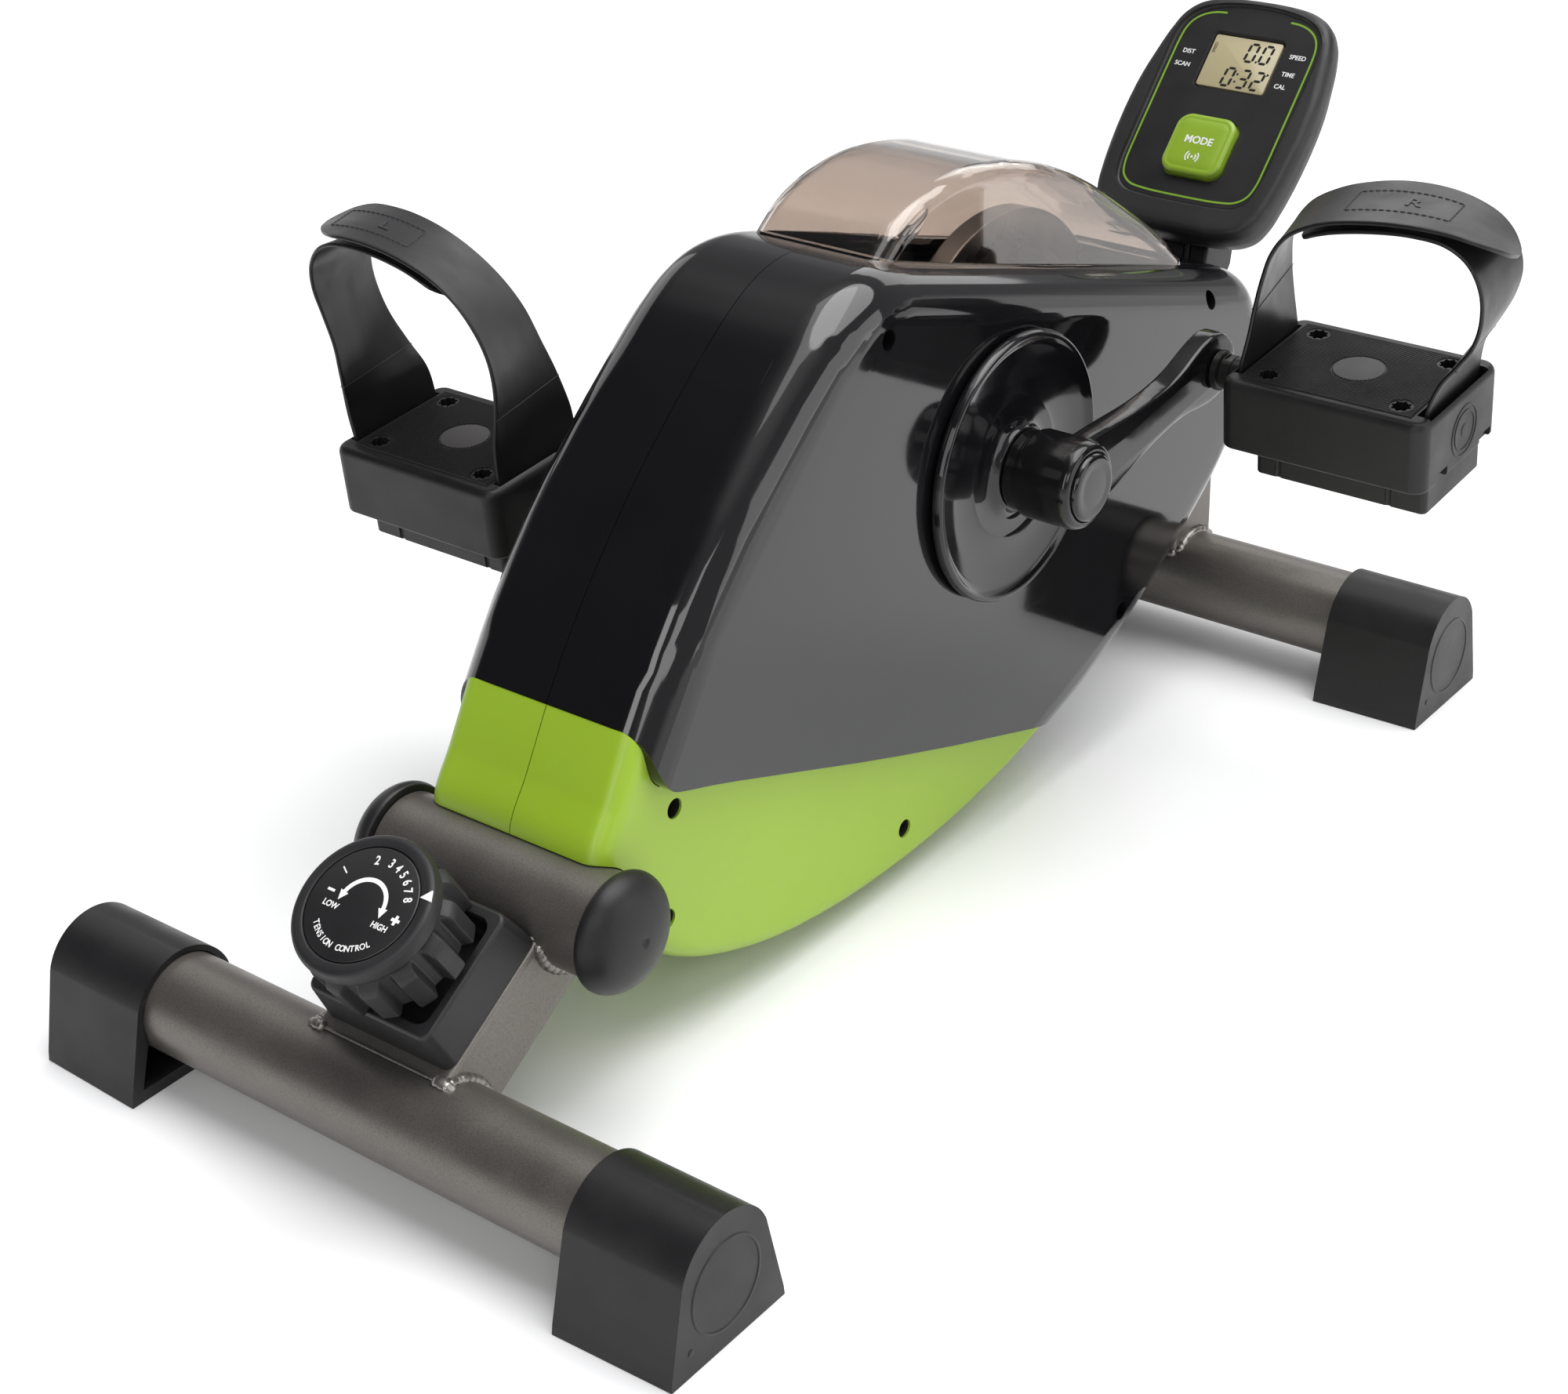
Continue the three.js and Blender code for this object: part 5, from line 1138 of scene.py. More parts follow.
def dial():
    T = NECK_F
    zt = 65.72
    o = lathe("plate", [(0, 64.7), (27.0, 64.7), (27.4, 64.9), (27.4, 65.35), (27.15, 65.6), (26.8, 65.7), (0, 65.7)], 128, "Z", (0, KNOB_S, 0))
    only(o, M_DISC_PLATE)
    pin = lathe("pin", [(0, 6), (3, 6), (3, 64.9), (0, 64.9)], 24, "Z", (0, KNOB_S, 0))
    only(pin, M_STEEL)
    obs = [o, pin]
    for ch, an, r, sz in (("1", 149, 20.8, 5.6), ("2", 106, 20.9, 6.0), ("3", 85, 21.3, 6.0), ("4", 72.5, 21.4, 5.9), ("5", 60.5, 21.6, 5.9), ("6", 48.8, 21.8, 5.9),
                          ("7", 37.3, 21.8, 5.9), ("8", 25.6, 22.0, 5.9)):
        a = math.radians(an)
        obs.append(text("n" + ch, ch, sz, (r * math.cos(a), KNOB_S + r * math.sin(a), zt), a - math.pi / 2, None, M_WHITE, 0.1, 0.82, bold=0.12))
    obs.append(text("low", "LOW", 4.0, (-14.2, KNOB_S - 5.4, zt), 0.0, None, M_WHITE, 0.1, 0.92, bold=0.10))
    obs.append(text("high", "HIGH", 4.0, (15.0, KNOB_S - 6.0, zt), 0.0, None, M_WHITE, 0.1, 0.92, bold=0.10))
    minus = boxm("mi", -18.3 - 2.0, -18.3 + 2.0, KNOB_S + 0.6 - 0.62, KNOB_S + 0.6 + 0.62, zt - 0.04, zt + 0.06)
    only(minus, M_WHITE)
    obs.append(minus)
    for w, h in ((4.6, 1.5), (1.5, 4.6)):
        b = boxm("pl", 20.6 - w / 2, 20.6 + w / 2, KNOB_S - 0.6 - h / 2, KNOB_S - 0.6 + h / 2, zt - 0.04, zt + 0.06 + (0.003 if w > h else 0))
        only(b, M_WHITE)
        obs.append(b)
    word = "TENSION CONTROL"
    for i, ch in enumerate(word):
        if ch == " ":
            continue
        a = math.radians(-136 + (136 - 44) * i / (len(word) - 1))
        r = 21.4
        obs.append(text("w%d" % i, ch, 4.1, (r * math.cos(a), KNOB_S + r * math.sin(a), zt), a + math.pi / 2, None, M_WHITE, 0.1, 0.86, bold=0.08))
    # double-headed arrow
    arc = arc2(0, KNOB_S, 11.7, 170, 8, 40)
    rb = ribbon_flat("arc", arc, 2.1, zt - 0.04, zt + 0.06)
    only(rb, M_WHITE)
    obs.append(rb)
    for a0, sg in ((170, 1), (8, -1)):
        a = math.radians(a0)
        c = Vector((11.7 * math.cos(a), KNOB_S + 11.7 * math.sin(a)))
        t = Vector((-math.sin(a), math.cos(a))) * sg
        nn = Vector((t[1], -t[0]))
        tri = [c - nn * 2.4 - t * 0.2, c + nn * 2.4 - t * 0.2, c + t * 4.4]
        h = prism("ah", [(q[0], q[1]) for q in tri], zt - 0.04, zt + 0.065, "XY")
        only(h, M_WHITE)
        obs.append(h)
    p = merge("dial_plate_printed", obs)
    move(p, T)
    finish(p, None, ROOT, ["knob_dial_plate"], sharp=35, weight=False)


dial()

# ------------------------------------------------------------------ console
CON_OUT = [(0, 29), (18, 28.4), (31, 26.4), (41.2, 21.8), (48.2, 14), (52.2, 3), (55.4, -12), (58.2, -30), (59.2, -48), (58.8, -68), (57, -88), (54.4, -102), (49.8, -111.5), (41, -117.6), (28, -120.2), (14, -121), (0, -121.2)]
CON_RING = spline(CON_OUT + [(-a, b) for a, b in CON_OUT[-2:0:-1]], 220, True)
# raised-line border of the printed face
FACE_HALF = [(0, 24.2), (14, 23.4), (28, 20.8), (38, 16.2), (44.2, 8.6), (46.6, 0), (47.0, -14), (46.9, -40), (46.4, -66), (45.4, -86), (42.6, -96), (35.5, -101.6), (24, -103.4), (0, -104)]
FACE_RING = spline(FACE_HALF + [(-a, b) for a, b in FACE_HALF[-2:0:-1]], 200, True)


def console():
    zf, zb = -12.0, -26.0
    # front shell: crowned rim, then a shallow step down to the printed face
    rings = []
    for k in range(9):
        a = math.pi / 2 * k / 8
        rings.append([(x, y, zf + 0.15 + 11.0 * math.sin(a) ** 0.8) for x, y in inset(CON_RING, 7.4 * (1 - math.cos(a)) ** 1.35)])
    f = loft("cf", rings)
    # slightly dished ring between rim and face
    step = []
    for z, d in ((-3.4, 1.6), (-2.9, 0.9), (-2.3, 0.35), (-1.2, 0.0), (1.0, -0.9), (5, -1.4)):
        step.append([(x, y, z) for x, y in inset(FACE_RING, d)])
    boole(f, loft("st", step))
    boole(f, prism("cav", inset(CON_RING, 5.5), -40, -5.8, "XY"))
    lcd_hole = []
    for z, g in ((-20, 0), (-6.5, 0), (-3.2, 1.6), (4, 4.2)):
        lcd_hole.append([(x, y, z) for x, y in round_rect(43.4 + 2 * g, 33.2 + 2 * g, 1.6 + g, 6, 0, -12.6)])
    boole(f, loft("lh", lcd_hole))
    boole(f, prism("bh", round_rect(38.4, 38, 8, 10, 0, -68.2), -20, 10, "XY"))
    finish_bevel(f, 0.35, 2, 40)
    only(f, M_CONSOLE)
    # printed face: a thin label sheet with the same outline
    lab = prism("lab", inset(FACE_RING, 2.0), -3.7, -3.22, "XY")
    boole(lab, prism("a", round_rect(46.8, 36.6, 3.2, 6, 0, -12.6), -9, 9, "XY"))
    boole(lab, prism("b", round_rect(38.8, 38.4, 8.2, 10, 0, -68.2), -9, 9, "XY"))
    only(lab, M_FACE)
    obs = [f, lab]
    zt = -3.16
    # green border line with a gap at the top
    gl = [(-20.5, 17.2), (-27, 16.6), (-33.5, 14.4), (-38.8, 10.2), (-41.6, 4.6), (-42.6, -2), (-42.9, -20), (-42.9, -45), (-42.8, -70), (-42.2, -84.5), (-39.8, -92), (-34, -96.6),
          (-25, -98.2), (0, -98.8)]
    full = gl + [(-a, b) for a, b in gl[-2::-1]]
    rb = ribbon_flat("gl", spline(full, 220), 1.15, zt - 0.03, zt + 0.07)
    only(rb, M_GREENINK)
    obs.append(rb)
    for s, u, v, sz in (("DIST", -33.6, -10.2, 3.9), ("SCAN", -34.2, -18.6, 3.9), ("SPEED", 33.6, -3.6, 3.9), ("TIME", 32.2, -14.8, 3.9), ("CAL", 30.4, -22.8, 3.9)):
        obs.append(text("t" + s, s, sz, (u, v, zt + 0.02), 0.0, None, M_WHITE, 0.08, 0.98, bold=0.06))
    p = merge("console_front", obs)
    move(p, CON_F)
    finish(p, None, ROOT, ["console_front_shell"], sharp=38)
    # back shell
    rings = []
    for k in range(9):
        a = math.pi / 2 * k / 8
        rings.append([(x, y, zf - 0.35 - (zb * -1 - 12.35) * math.sin(a)) for x, y in inset(CON_RING, 0.5 + 9.0 * (1 - math.cos(a)))])
    b = loft("cb", rings)
    boole(b, prism("bd", round_rect(44.8, 30.8, 2.5, 6, 0, -25), -60, -23.4, "XY"))
    finish_bevel(b, 0.4, 2, 40)
    move(b, CON_F)
    boole(b, sweep("ld", LEAD, 2.8, 16, 80))
    finish(b, M_CONSOLE, ROOT, ["console_back_shell"], sharp=38)
    d = rounded_slab("door", round_rect(44, 30, 2.2, 6, 0, -25), -25.9, -23.6, 0.0, 3, None, "XY", 0.6)
    obs = [d]
    for i in range(5):
        obs.append(rounded_slab("g%d" % i, round_rect(16, 1.1, 0.5, 4, 0, -16 - 2.4 * i), -26.2, -25.6, 0.0, 2, None, "XY", 0.2))
    p = merge("battery_cover", obs)
    move(p, CON_F)
    finish(p, M_CONSOLE, ROOT, ["battery_door"], sharp=38)


LEAD = [(4, 671, 243), (4, 668, 230), (6, 662, 212), (16, 648, 205), (33, 610, 212), (42, 540, 226), (43.5, 500, 236), (43.5, 470, 240)]
console()


def seven(ch, u, v, w, h, th, slant=0.0):
    """seven-segment digit, segments as flat bars with pointed ends"""
    on = {"0": "abcdef", "2": "abged", "3": "abgcd"}[ch]
    g = 0.35
    segs = {
        "a": ((-w / 2 + g, h / 2), (w / 2 - g, h / 2)), "d": ((-w / 2 + g, -h / 2), (w / 2 - g, -h / 2)), "g": ((-w / 2 + g, 0), (w / 2 - g, 0)),
        "f": ((-w / 2, g), (-w / 2, h / 2 - g)), "e": ((-w / 2, -h / 2 + g), (-w / 2, -g)), "b": ((w / 2, g), (w / 2, h / 2 - g)), "c": ((w / 2, -h / 2 + g), (w / 2, -g))}
    out = []
    for k in on:
        a, b = Vector(segs[k][0]), Vector(segs[k][1])
        t = (b - a).normalized()
        n = Vector((-t[1], t[0]))
        pts = [a, a + t * th / 2 + n * th / 2, b - t * th / 2 + n * th / 2, b, b - t * th / 2 - n * th / 2, a + t * th / 2 - n * th / 2]
        out.append([(u + p[0] + slant * p[1], v + p[1]) for p in pts])
    return out


def lcd():
    z0 = -4.3
    glass = rounded_slab("lcdg", round_rect(43.0, 32.8, 1.4, 4, 0, -12.6), -8.9, z0, 0.2, 2, None, "XY", 0.2)
    only(glass, M_LCD)
    obs = [glass]
    polys = []
    zi = z0 + 0.03
    for ch, u, v in (("0", 4.6, -4.6), ("0", 13.8, -4.6), ("0", -3.6, -21.4), ("3", 6.2, -21.4), ("2", 15.0, -21.4)):
        polys += seven(ch, u, v, 5.2, 11.2, 1.55, 0.10)
    polys.append([(8.6, -10.4), (9.8, -10.4), (9.8, -9.2), (8.6, -9.2)])
    for dv in (-18.9, -23.7):
        polys.append([(0.9, dv - 0.6), (2.1, dv - 0.6), (2.1, dv + 0.6), (0.9, dv + 0.6)])
    polys.append([(19.2, -17.6), (20.9, -16.5), (19.2, -15.4)])
    for i, pts in enumerate(polys):
        q = prism("sg%d" % i, pts, zi - 0.02, zi + 0.05, "XY")
        only(q, M_LCDINK)
        obs.append(q)
    obs.append(text("kph", "SPEED", 2.6, (-19.2, -4.6, zi), math.pi / 2, None, M_LCDINK, 0.06, 0.95, bold=0.02))
    p = merge("lcd_panel", obs)
    move(p, CON_F)
    finish(p, None, ROOT, ["display_module"], sharp=38, weight=False)


lcd()


def button():
    base = round_rect(37.4, 37.0, 8.6, 12, 0, -68.2)
    rings = []
    for z, d in ((-3.0, 0.0), (0.2, 0.0), (0.9, 0.15), (1.45, 0.55), (1.85, 1.2), (2.05, 2.0), (2.08, 2.9), (2.0, 3.25), (2.02, 3.6), (2.25, 4.6), (2.42, 7.0), (2.5, 11.0)):
        rings.append([(x, y, z) for x, y in inset(base, min(d, 8.2))] if d <= 8.2 else [(x * (1 - (d - 8.2) * 0.06), -68.2 + (y + 68.2) * (1 - (d - 8.2) * 0.06), z) for x, y in inset(base, 8.2)])
    o = loft("btn", rings)
    only(o, M_GREEN_BTN)
    fl = prism("fl", round_rect(42, 42, 8, 8, 0, -68.2), -6.0, -4.8, "XY")
    only(fl, M_GREEN_BTN)
    st = prism("stem", round_rect(30, 30, 6, 8, 0, -68.2), -5.5, -2.0, "XY")
    only(st, M_GREEN_BTN)
    obs = [o, fl, st]
    zt = 2.56
    obs.append(text("mode", "MODE", 6.4, (0, -66.4, zt), 0.0, None, M_WHITE, 0.1, 0.98, bold=0.14))
    dot = lathe("dt", [(0, zt - 0.05), (0.75, zt - 0.05), (0.75, zt + 0.05), (0, zt + 0.05)], 20, "Z", (0, -76.6, 0))
    only(dot, M_WHITE)
    obs.append(dot)
    for r, sp in ((2.3, 46), (4.0, 44)):
        for c in (0, 180):
            rb = ribbon_flat("w", arc2(0, -76.6, r, c - sp, c + sp, 14), 0.75, zt - 0.05, zt + 0.05)
            only(rb, M_WHITE)
            obs.append(rb)
    p = merge("mode_button_cap", obs)
    move(p, CON_F)
    finish(p, None, BUTTON, ["mode_button"], sharp=38, weight=False)


button()


def bracket():
    back = lambda v, n: (CON_Y + CV[0] * v + CN[0] * n, CON_Z + CV[1] * v + CN[1] * n)
    prof = [(664.2, 186), (671, 184), (696, 214), back(-58, -26.3), back(-98, -26.3), (668, 232), (663.6, 215)]
    o = prism("br", prof, -17, 17)
    finish_bevel(o, 2.0, 4, 30)
    boole(o, sweep("ld", LEAD, 2.6, 16, 80))
    boole(o, rounded_slab("h", inset(RING, -0.3), -60, 60, 0, 1, None, "YZ", 0))
    obs = [o]
    finish(merge("console_stalk", obs), M_SATIN, ROOT, ["console_bracket"], bevel=0.3, segs=2, angle=50)
    lead = sweep("lead", LEAD, 1.5, 16, 90)
    plug = boxm("pg", 40.2, 46.8, 462, 474, 235, 245)
    finish_bevel(plug, 0.8, 3)
    finish(merge("sensor_lead", [lead, plug]), M_BELT, ROOT, ["speed_sensor_lead"])


bracket()

# ------------------------------------------------------------------ crank set
def crank_disc(name, node, sd):
    prof = [(8.8, 62.7), (20, 62.7), (40, 62.7), (60, 62.7), (66, 62.9), (68.2, 63.7), (69.1, 65.0), (69.3, 66.6), (69.0, 68.2), (68.1, 69.3), (66.8, 69.6), (65.5, 69.1), (64.0, 67.9),
            (61.2, 66.5), (55, 65.6), (48, 65.2), (42, 65.2), (38.0, 65.4), (35.8, 65.8), (34.6, 65.8), (33.6, 65.5), (30.0, 65.5), (26.6, 65.9), (24.0, 67.0), (22.2, 68.7), (21.2, 70.2), (20.4, 71.0), (19.0, 71.2), (8.8, 71.2)]
    o = lathe(name, prof + [prof[0]], 160, "X", (0, BB_Y, BB_Z))
    if sd < 0:
        move(o, MIRX)
    finish(o, M_GLOSS_PART, CRANK, [node], sharp=40)


crank_disc("crank_disc_r", "crank_disc_right", 1)
crank_disc("crank_disc_l", "crank_disc_left", -1)

ARM = [(-17, 7), (-13, 13), (-6, 18.2), (2, 20.6), (10, 21.0), (20, 19.8), (40, 16.4), (56, 13.8), (72, 12.3), (88, 12.1), (100, 13.6), (108, 15.6), (116, 17.4), (123, 18.4), (130, 18.2),
       (136, 16.2), (140.6, 12.6), (143.6, 8.0), (144.9, 3.2)]


def arm_shape(name):
    st = spline([(a, b) for a, b in ARM], 60)
    rings = []
    for (y, h) in st:
        t = 7.75
        # fuller in the middle of the arm's length, slimmer towards the eye
        n = 32
        rg = []
        for i in range(n):
            a = 2 * math.pi * i / n
            c, s = math.cos(a), math.sin(a)
            e = 0.42
            px = abs(c) ** e * (1 if c >= 0 else -1)
            pz = abs(s) ** 0.62 * (1 if s >= 0 else -1)
            rg.append((99.75 + t * px * (0.82 + 0.18 * min(1, h / 10)), y, h * pz))
        rings.append(rg)
    arm = loft(name, rings)
    hub = lathe("hub", [(0, 71.5), (19.6, 71.5), (20.4, 72.1), (20.6, 73.0), (20.6, 77.0), (21.2, 78.6), (22.2, 79.6), (22.6, 81.0), (22.6, 104.5), (22.2, 107.0), (21.2, 108.8), (19.8, 109.8), (18.6, 110.1), (0, 110.1)], 96)
    boole(arm, hub, "UNION")
    boole(arm, cyl("a", 9.2, 60, 104.5, (0, 0)))
    boole(arm, cyl("b", 18.0, 107, 120, (0, 0), seg=96))
    boole(arm, cyl("c", 7.6, 80, 120, (CRANK_R, 0), seg=48))
    finish_bevel(arm, 0.7, 3, 42)
    return arm


def cranks():
    for name, node, sd in (("crank_arm_r", "crank_arm_right", 1), ("crank_arm_l", "crank_arm_left", -1)):
        o = arm_shape(name)
        rot = Matrix.Rotation(CRANK_ANG + (0 if sd > 0 else math.pi), 4, "X")
        tf = Matrix.Translation((0, BB_Y, BB_Z)) @ rot @ (Matrix.Identity(4) if sd > 0 else MIRX)
        move(o, tf)
        finish(o, M_ENAMEL, CRANK, [node], sharp=42)
        cap = lathe("cap", [(0, 107.4), (16.9, 107.4), (17.4, 107.9), (17.5, 109.4), (17.3, 110.8), (16.7, 111.9), (15.6, 112.6), (13.6, 112.95), (11, 112.7), (9.6, 112.75), (0, 113.1)], 96, "X", (0, BB_Y, BB_Z))
        if sd < 0:
            move(cap, MIRX)
        finish(cap, M_GLOSS_PART, CRANK, ["dust_cap_right" if sd > 0 else "dust_cap_left"], sharp=40)
        py, pz = PR if sd > 0 else PL
        sp = [(0, 93.5), (6.4, 93.5), (7, 94.1), (7, 107.9), (9.8, 107.9), (10.5, 108.6), (10.5, 111.8), (9.8, 112.5), (9.0, 112.8), (9.0, 118), (8.6, 118.4), (8.6, 119.2), (9.0, 119.6), (9.0, 128), (6.5, 129), (6.5, 226), (0, 226)]
        s = lathe("spindle_r" if sd > 0 else "spindle_l", sp, 48, "X", (0, py, pz))
        # flats for the spanner
        boole(s, boxm("f", 113.4, 118.0, py - 20, py + 20, pz + 8.0, pz + 20))
        boole(s, boxm("g", 113.4, 118.0, py - 20, py + 20, pz - 20, pz - 8.0))
        if sd < 0:
            move(s, MIRX)
        finish(s, M_BLACKSTEEL, CRANK, ["pedal_spindle_right" if sd > 0 else "pedal_spindle_left"], sharp=35)


cranks()

# ------------------------------------------------------------------ pedals
def scallop(cx, cy, r, depth, n, pts=96):
    return [(cx + (r + depth * math.cos(n * 2 * math.pi * i / pts)) * math.cos(2 * math.pi * i / pts), cy + (r + depth * math.cos(n * 2 * math.pi * i / pts)) * math.sin(2 * math.pi * i / pts)) for i in range(pts)]


def pedal(name_tag, sd, F, body):
    hw = 30.9
    o = rounded_slab("pb", round_rect(PEDAL_W, PEDAL_D, 8, 10), PEDAL_BOT, PEDAL_TOP, 4.6, 6, None, "XY", 1.6)
    # strap slots
    for x in (-50.5, 49.2):
        boole(o, boxm("sl", x - 2.4, x + 2.4, -hw, hw, 7.6, 40))
    boole(o, loft("sl2", [[(46, y, 10), (52, y, 10), (56, y, 22), (48, y, 22)] for y in (-hw, hw)]))
    boole(o, cyl("bo", 9.7, -70, -55, (0, 0)))
    boole(o, cyl("bi", 7.1, -70, 40, (0, 0)))
    # four star holes in the tread
    for x, y in ((-36, 25.5), (-36, -25.5), (36, 25.5), (36, -25.5)):
        boole(o, prism("st", scallop(x, y, 4.6, 0.55, 8), 11, 30, "XY"))
    # shallow notches at the lower outer edge
    for y in (-20, 27):
        boole(o, boxm("nt", 53.6, 60, y - 6, y + 6, -25, -14.2))
    finish_bevel(o, 0.55, 2, 42)
    obs = [o]
    # fine ribs across the tread, left out round the holes, the disc and the slots
    rib_h = 0.55
    y = -33.6
    while y <= 33.7:
        spans = [(-46.6, 45.4)]
        blocks = []
        for x0, y0, r in ((0, 0, 13.9), (-36, 25.5, 6.2), (-36, -25.5, 6.2), (36, 25.5, 6.2), (36, -25.5, 6.2)):
            if abs(y - y0) < r:
                d = math.sqrt(r * r - (y - y0) ** 2)
                blocks.append((x0 - d, x0 + d))
        for b0, b1 in sorted(blocks):
            nxt = []
            for a0, a1 in spans:
                if b1 <= a0 or b0 >= a1:
                    nxt.append((a0, a1))
                else:
                    if b0 > a0 + 0.5:
                        nxt.append((a0, b0))
                    if b1 < a1 - 0.5:
                        nxt.append((b1, a1))
            spans = nxt
        for a0, a1 in spans:
            z = PEDAL_TOP
            obs.append(loft("rb", [[(x, y - 0.42, z - 0.2), (x, y + 0.42, z - 0.2), (x, y + 0.18, z + rib_h), (x, y - 0.18, z + rib_h)] for x in (a0, a1)]))
        y += 1.26
    # smooth centre disc with a scalloped edge
    dz = PEDAL_TOP
    d = loft("disc", [[(x, y, dz - 0.3) for x, y in scallop(0, 0, 12.9, 0.28, 40, 240)], [(x, y, dz + 0.42) for x, y in scallop(0, 0, 12.9, 0.28, 40, 240)],
                      [(x, y, dz + 0.6) for x, y in scallop(0, 0, 12.5, 0.24, 40, 240)]])
    only(d, M_PEDAL_DISC)
    for q in obs:
        only(q, M_PEDAL)
    obs.append(d)
    # two moulded rings on the outer end, with a plain tab between them
    for r in (13.2, 10.2):
        g = lathe("rg", [(r - 0.55, 55.6), (r - 0.45, 56.25), (r, 56.42), (r + 0.45, 56.25), (r + 0.55, 55.6), (r - 0.55, 55.6)], 72, "X", (0, 3, -2.5))
        only(g, M_PEDAL)
        obs.append(g)
    g = lathe("gc", [(0, 55.6), (3.4, 55.6), (3.3, 56.15), (2.9, 56.35), (0, 56.35)], 48, "X", (0, 3, -2.5))
    only(g, M_PEDAL)
    obs.append(g)
    p = merge("pedal_" + name_tag, obs)
    move(p, F)
    finish(p, None, body, ["pedal_body_right" if sd > 0 else "pedal_body_left"], sharp=40)
    # lower block with ribs and end walls
    b = rounded_slab("bl", round_rect(94, 60, 3.5, 6, 4, 4), PEDAL_BOT - 18.5, PEDAL_BOT - 0.3, 0, 3, None, "XY", 1.0)
    boole(b, prism("hol", round_rect(70, 52, 2, 4, 2, 4), -60, PEDAL_BOT - 4.0, "XY"))
    for x in (-30, 31):
        boole(b, prism("gr", round_rect(3.2, 3.2, 1.2, 4, x, -26.3), -60, PEDAL_BOT - 0.1, "XY"))
    web = []
    for x in (-18, 2, 22):
        web.append(boxm("wb", x - 1.1, x + 1.1, -22.5, 30.5, PEDAL_BOT - 17.0, PEDAL_BOT - 3.8))
    for w in web:
        boole(b, w, "UNION")
    finish_bevel(b, 0.5, 2, 42)
    move(b, F)
    b.name = "pedal_under_" + name_tag
    finish(b, M_PEDAL, body, ["pedal_block_right" if sd > 0 else "pedal_block_left"], sharp=40)


pedal("right", 1, PED_R_F, PED_R)
pedal("left", -1, PED_L_F, PED_L)

# ------------------------------------------------------------------ straps
# centre lines in pedal coordinates (x outwards, z up): the edge nearer the front of the machine, then the edge behind it
STRAPS = {
    "right": {"upper": ([(-50.5, 9), (-50.2, 18.5), (-49, 25), (-46, 38), (-42.5, 55), (-38.6, 70), (-33.8, 84), (-25.5, 95.5), (-8, 105.2), (16, 110.8), (40, 113.1), (60, 112.8), (75, 110.2), (89, 105.4)],
                        [(-50.5, 9), (-50.6, 18.5), (-51.2, 25), (-52.5, 38), (-54, 56), (-53, 72), (-43, 87.6), (-28, 97.2), (-12, 103.2), (10, 107.8), (34, 107.6), (52, 102.4), (64, 94.5), (71, 85.5)]),
              "under": ([(48.9, 9), (51, 20), (56.5, 35), (65, 47), (72, 58), (75.5, 72), (74.5, 88), (68, 100.5), (57, 107.2), (40, 108.8), (18, 106.6), (-4, 101.8), (-16, 97.2), (-22, 93.6)],
                        [(48.9, 9), (49.6, 20), (52.5, 36), (60, 50), (66.5, 64), (69, 76), (67, 85), (61, 91.6), (51, 97.4), (36, 102.4), (14, 103.2), (-8, 99.6), (-22, 94.2), (-28, 90.6)])},
    "left": {"upper": ([(-50.5, 9), (-50.1, 18.5), (-49.7, 25), (-49.8, 38), (-54, 56), (-56, 70), (-55.2, 85), (-50.2, 98.6), (-40, 112.5), (-26, 122.2), (-6, 129.2), (14, 132.6), (32, 133.2), (48, 131.5), (60, 128.5)],
                       [(-50.5, 9), (-50.3, 18.5), (-50.2, 25), (-49.5, 38), (-43.5, 54), (-36, 68), (-25.5, 86), (-9, 101), (16, 114.5), (42, 121.2), (66, 121.8), (80, 119.5), (88, 116.8)]),
             "under": ([(48.9, 9), (50.5, 20), (54.5, 36), (54.9, 53), (55.2, 68.7), (58.6, 85.2), (61.8, 100), (60.5, 112), (54.5, 121.5), (46.5, 126.4), (34, 128.7), (14, 128.2), (-6, 124.6), (-20, 119.6), (-28, 115.6)],
                       [(48.9, 9), (49.4, 20), (51.5, 36), (62, 48), (72, 60), (78, 72), (81, 84), (80.5, 94), (76.5, 104), (68.5, 112), (56, 116.4), (40, 116.4), (18, 110.8), (-4, 99.2), (-14, 91.4), (-20, 84.8)])},
}


def strap_surface(lines, n):
    f, r = spline(lines[0], n), spline(lines[1], n)
    nrm = []
    for c in (f, r):
        q = []
        for i in range(n):
            a, b = Vector(c[max(0, i - 1)]), Vector(c[min(n - 1, i + 1)])
            t = (b - a).normalized()
            q.append((-t[1], t[0]))
        nrm.append(q)
    return (f, r), nrm


def mixp(pts, nrm, i, y):
    """centre point and outward normal of the band at station i, y across it"""
    u = min(1.0, max(0.0, (y + 29.8) / 59.6))
    p = Vector(pts[0][i]).lerp(Vector(pts[1][i]), u)
    q = Vector(nrm[0][i]).lerp(Vector(nrm[1][i]), u).normalized()
    return p, q


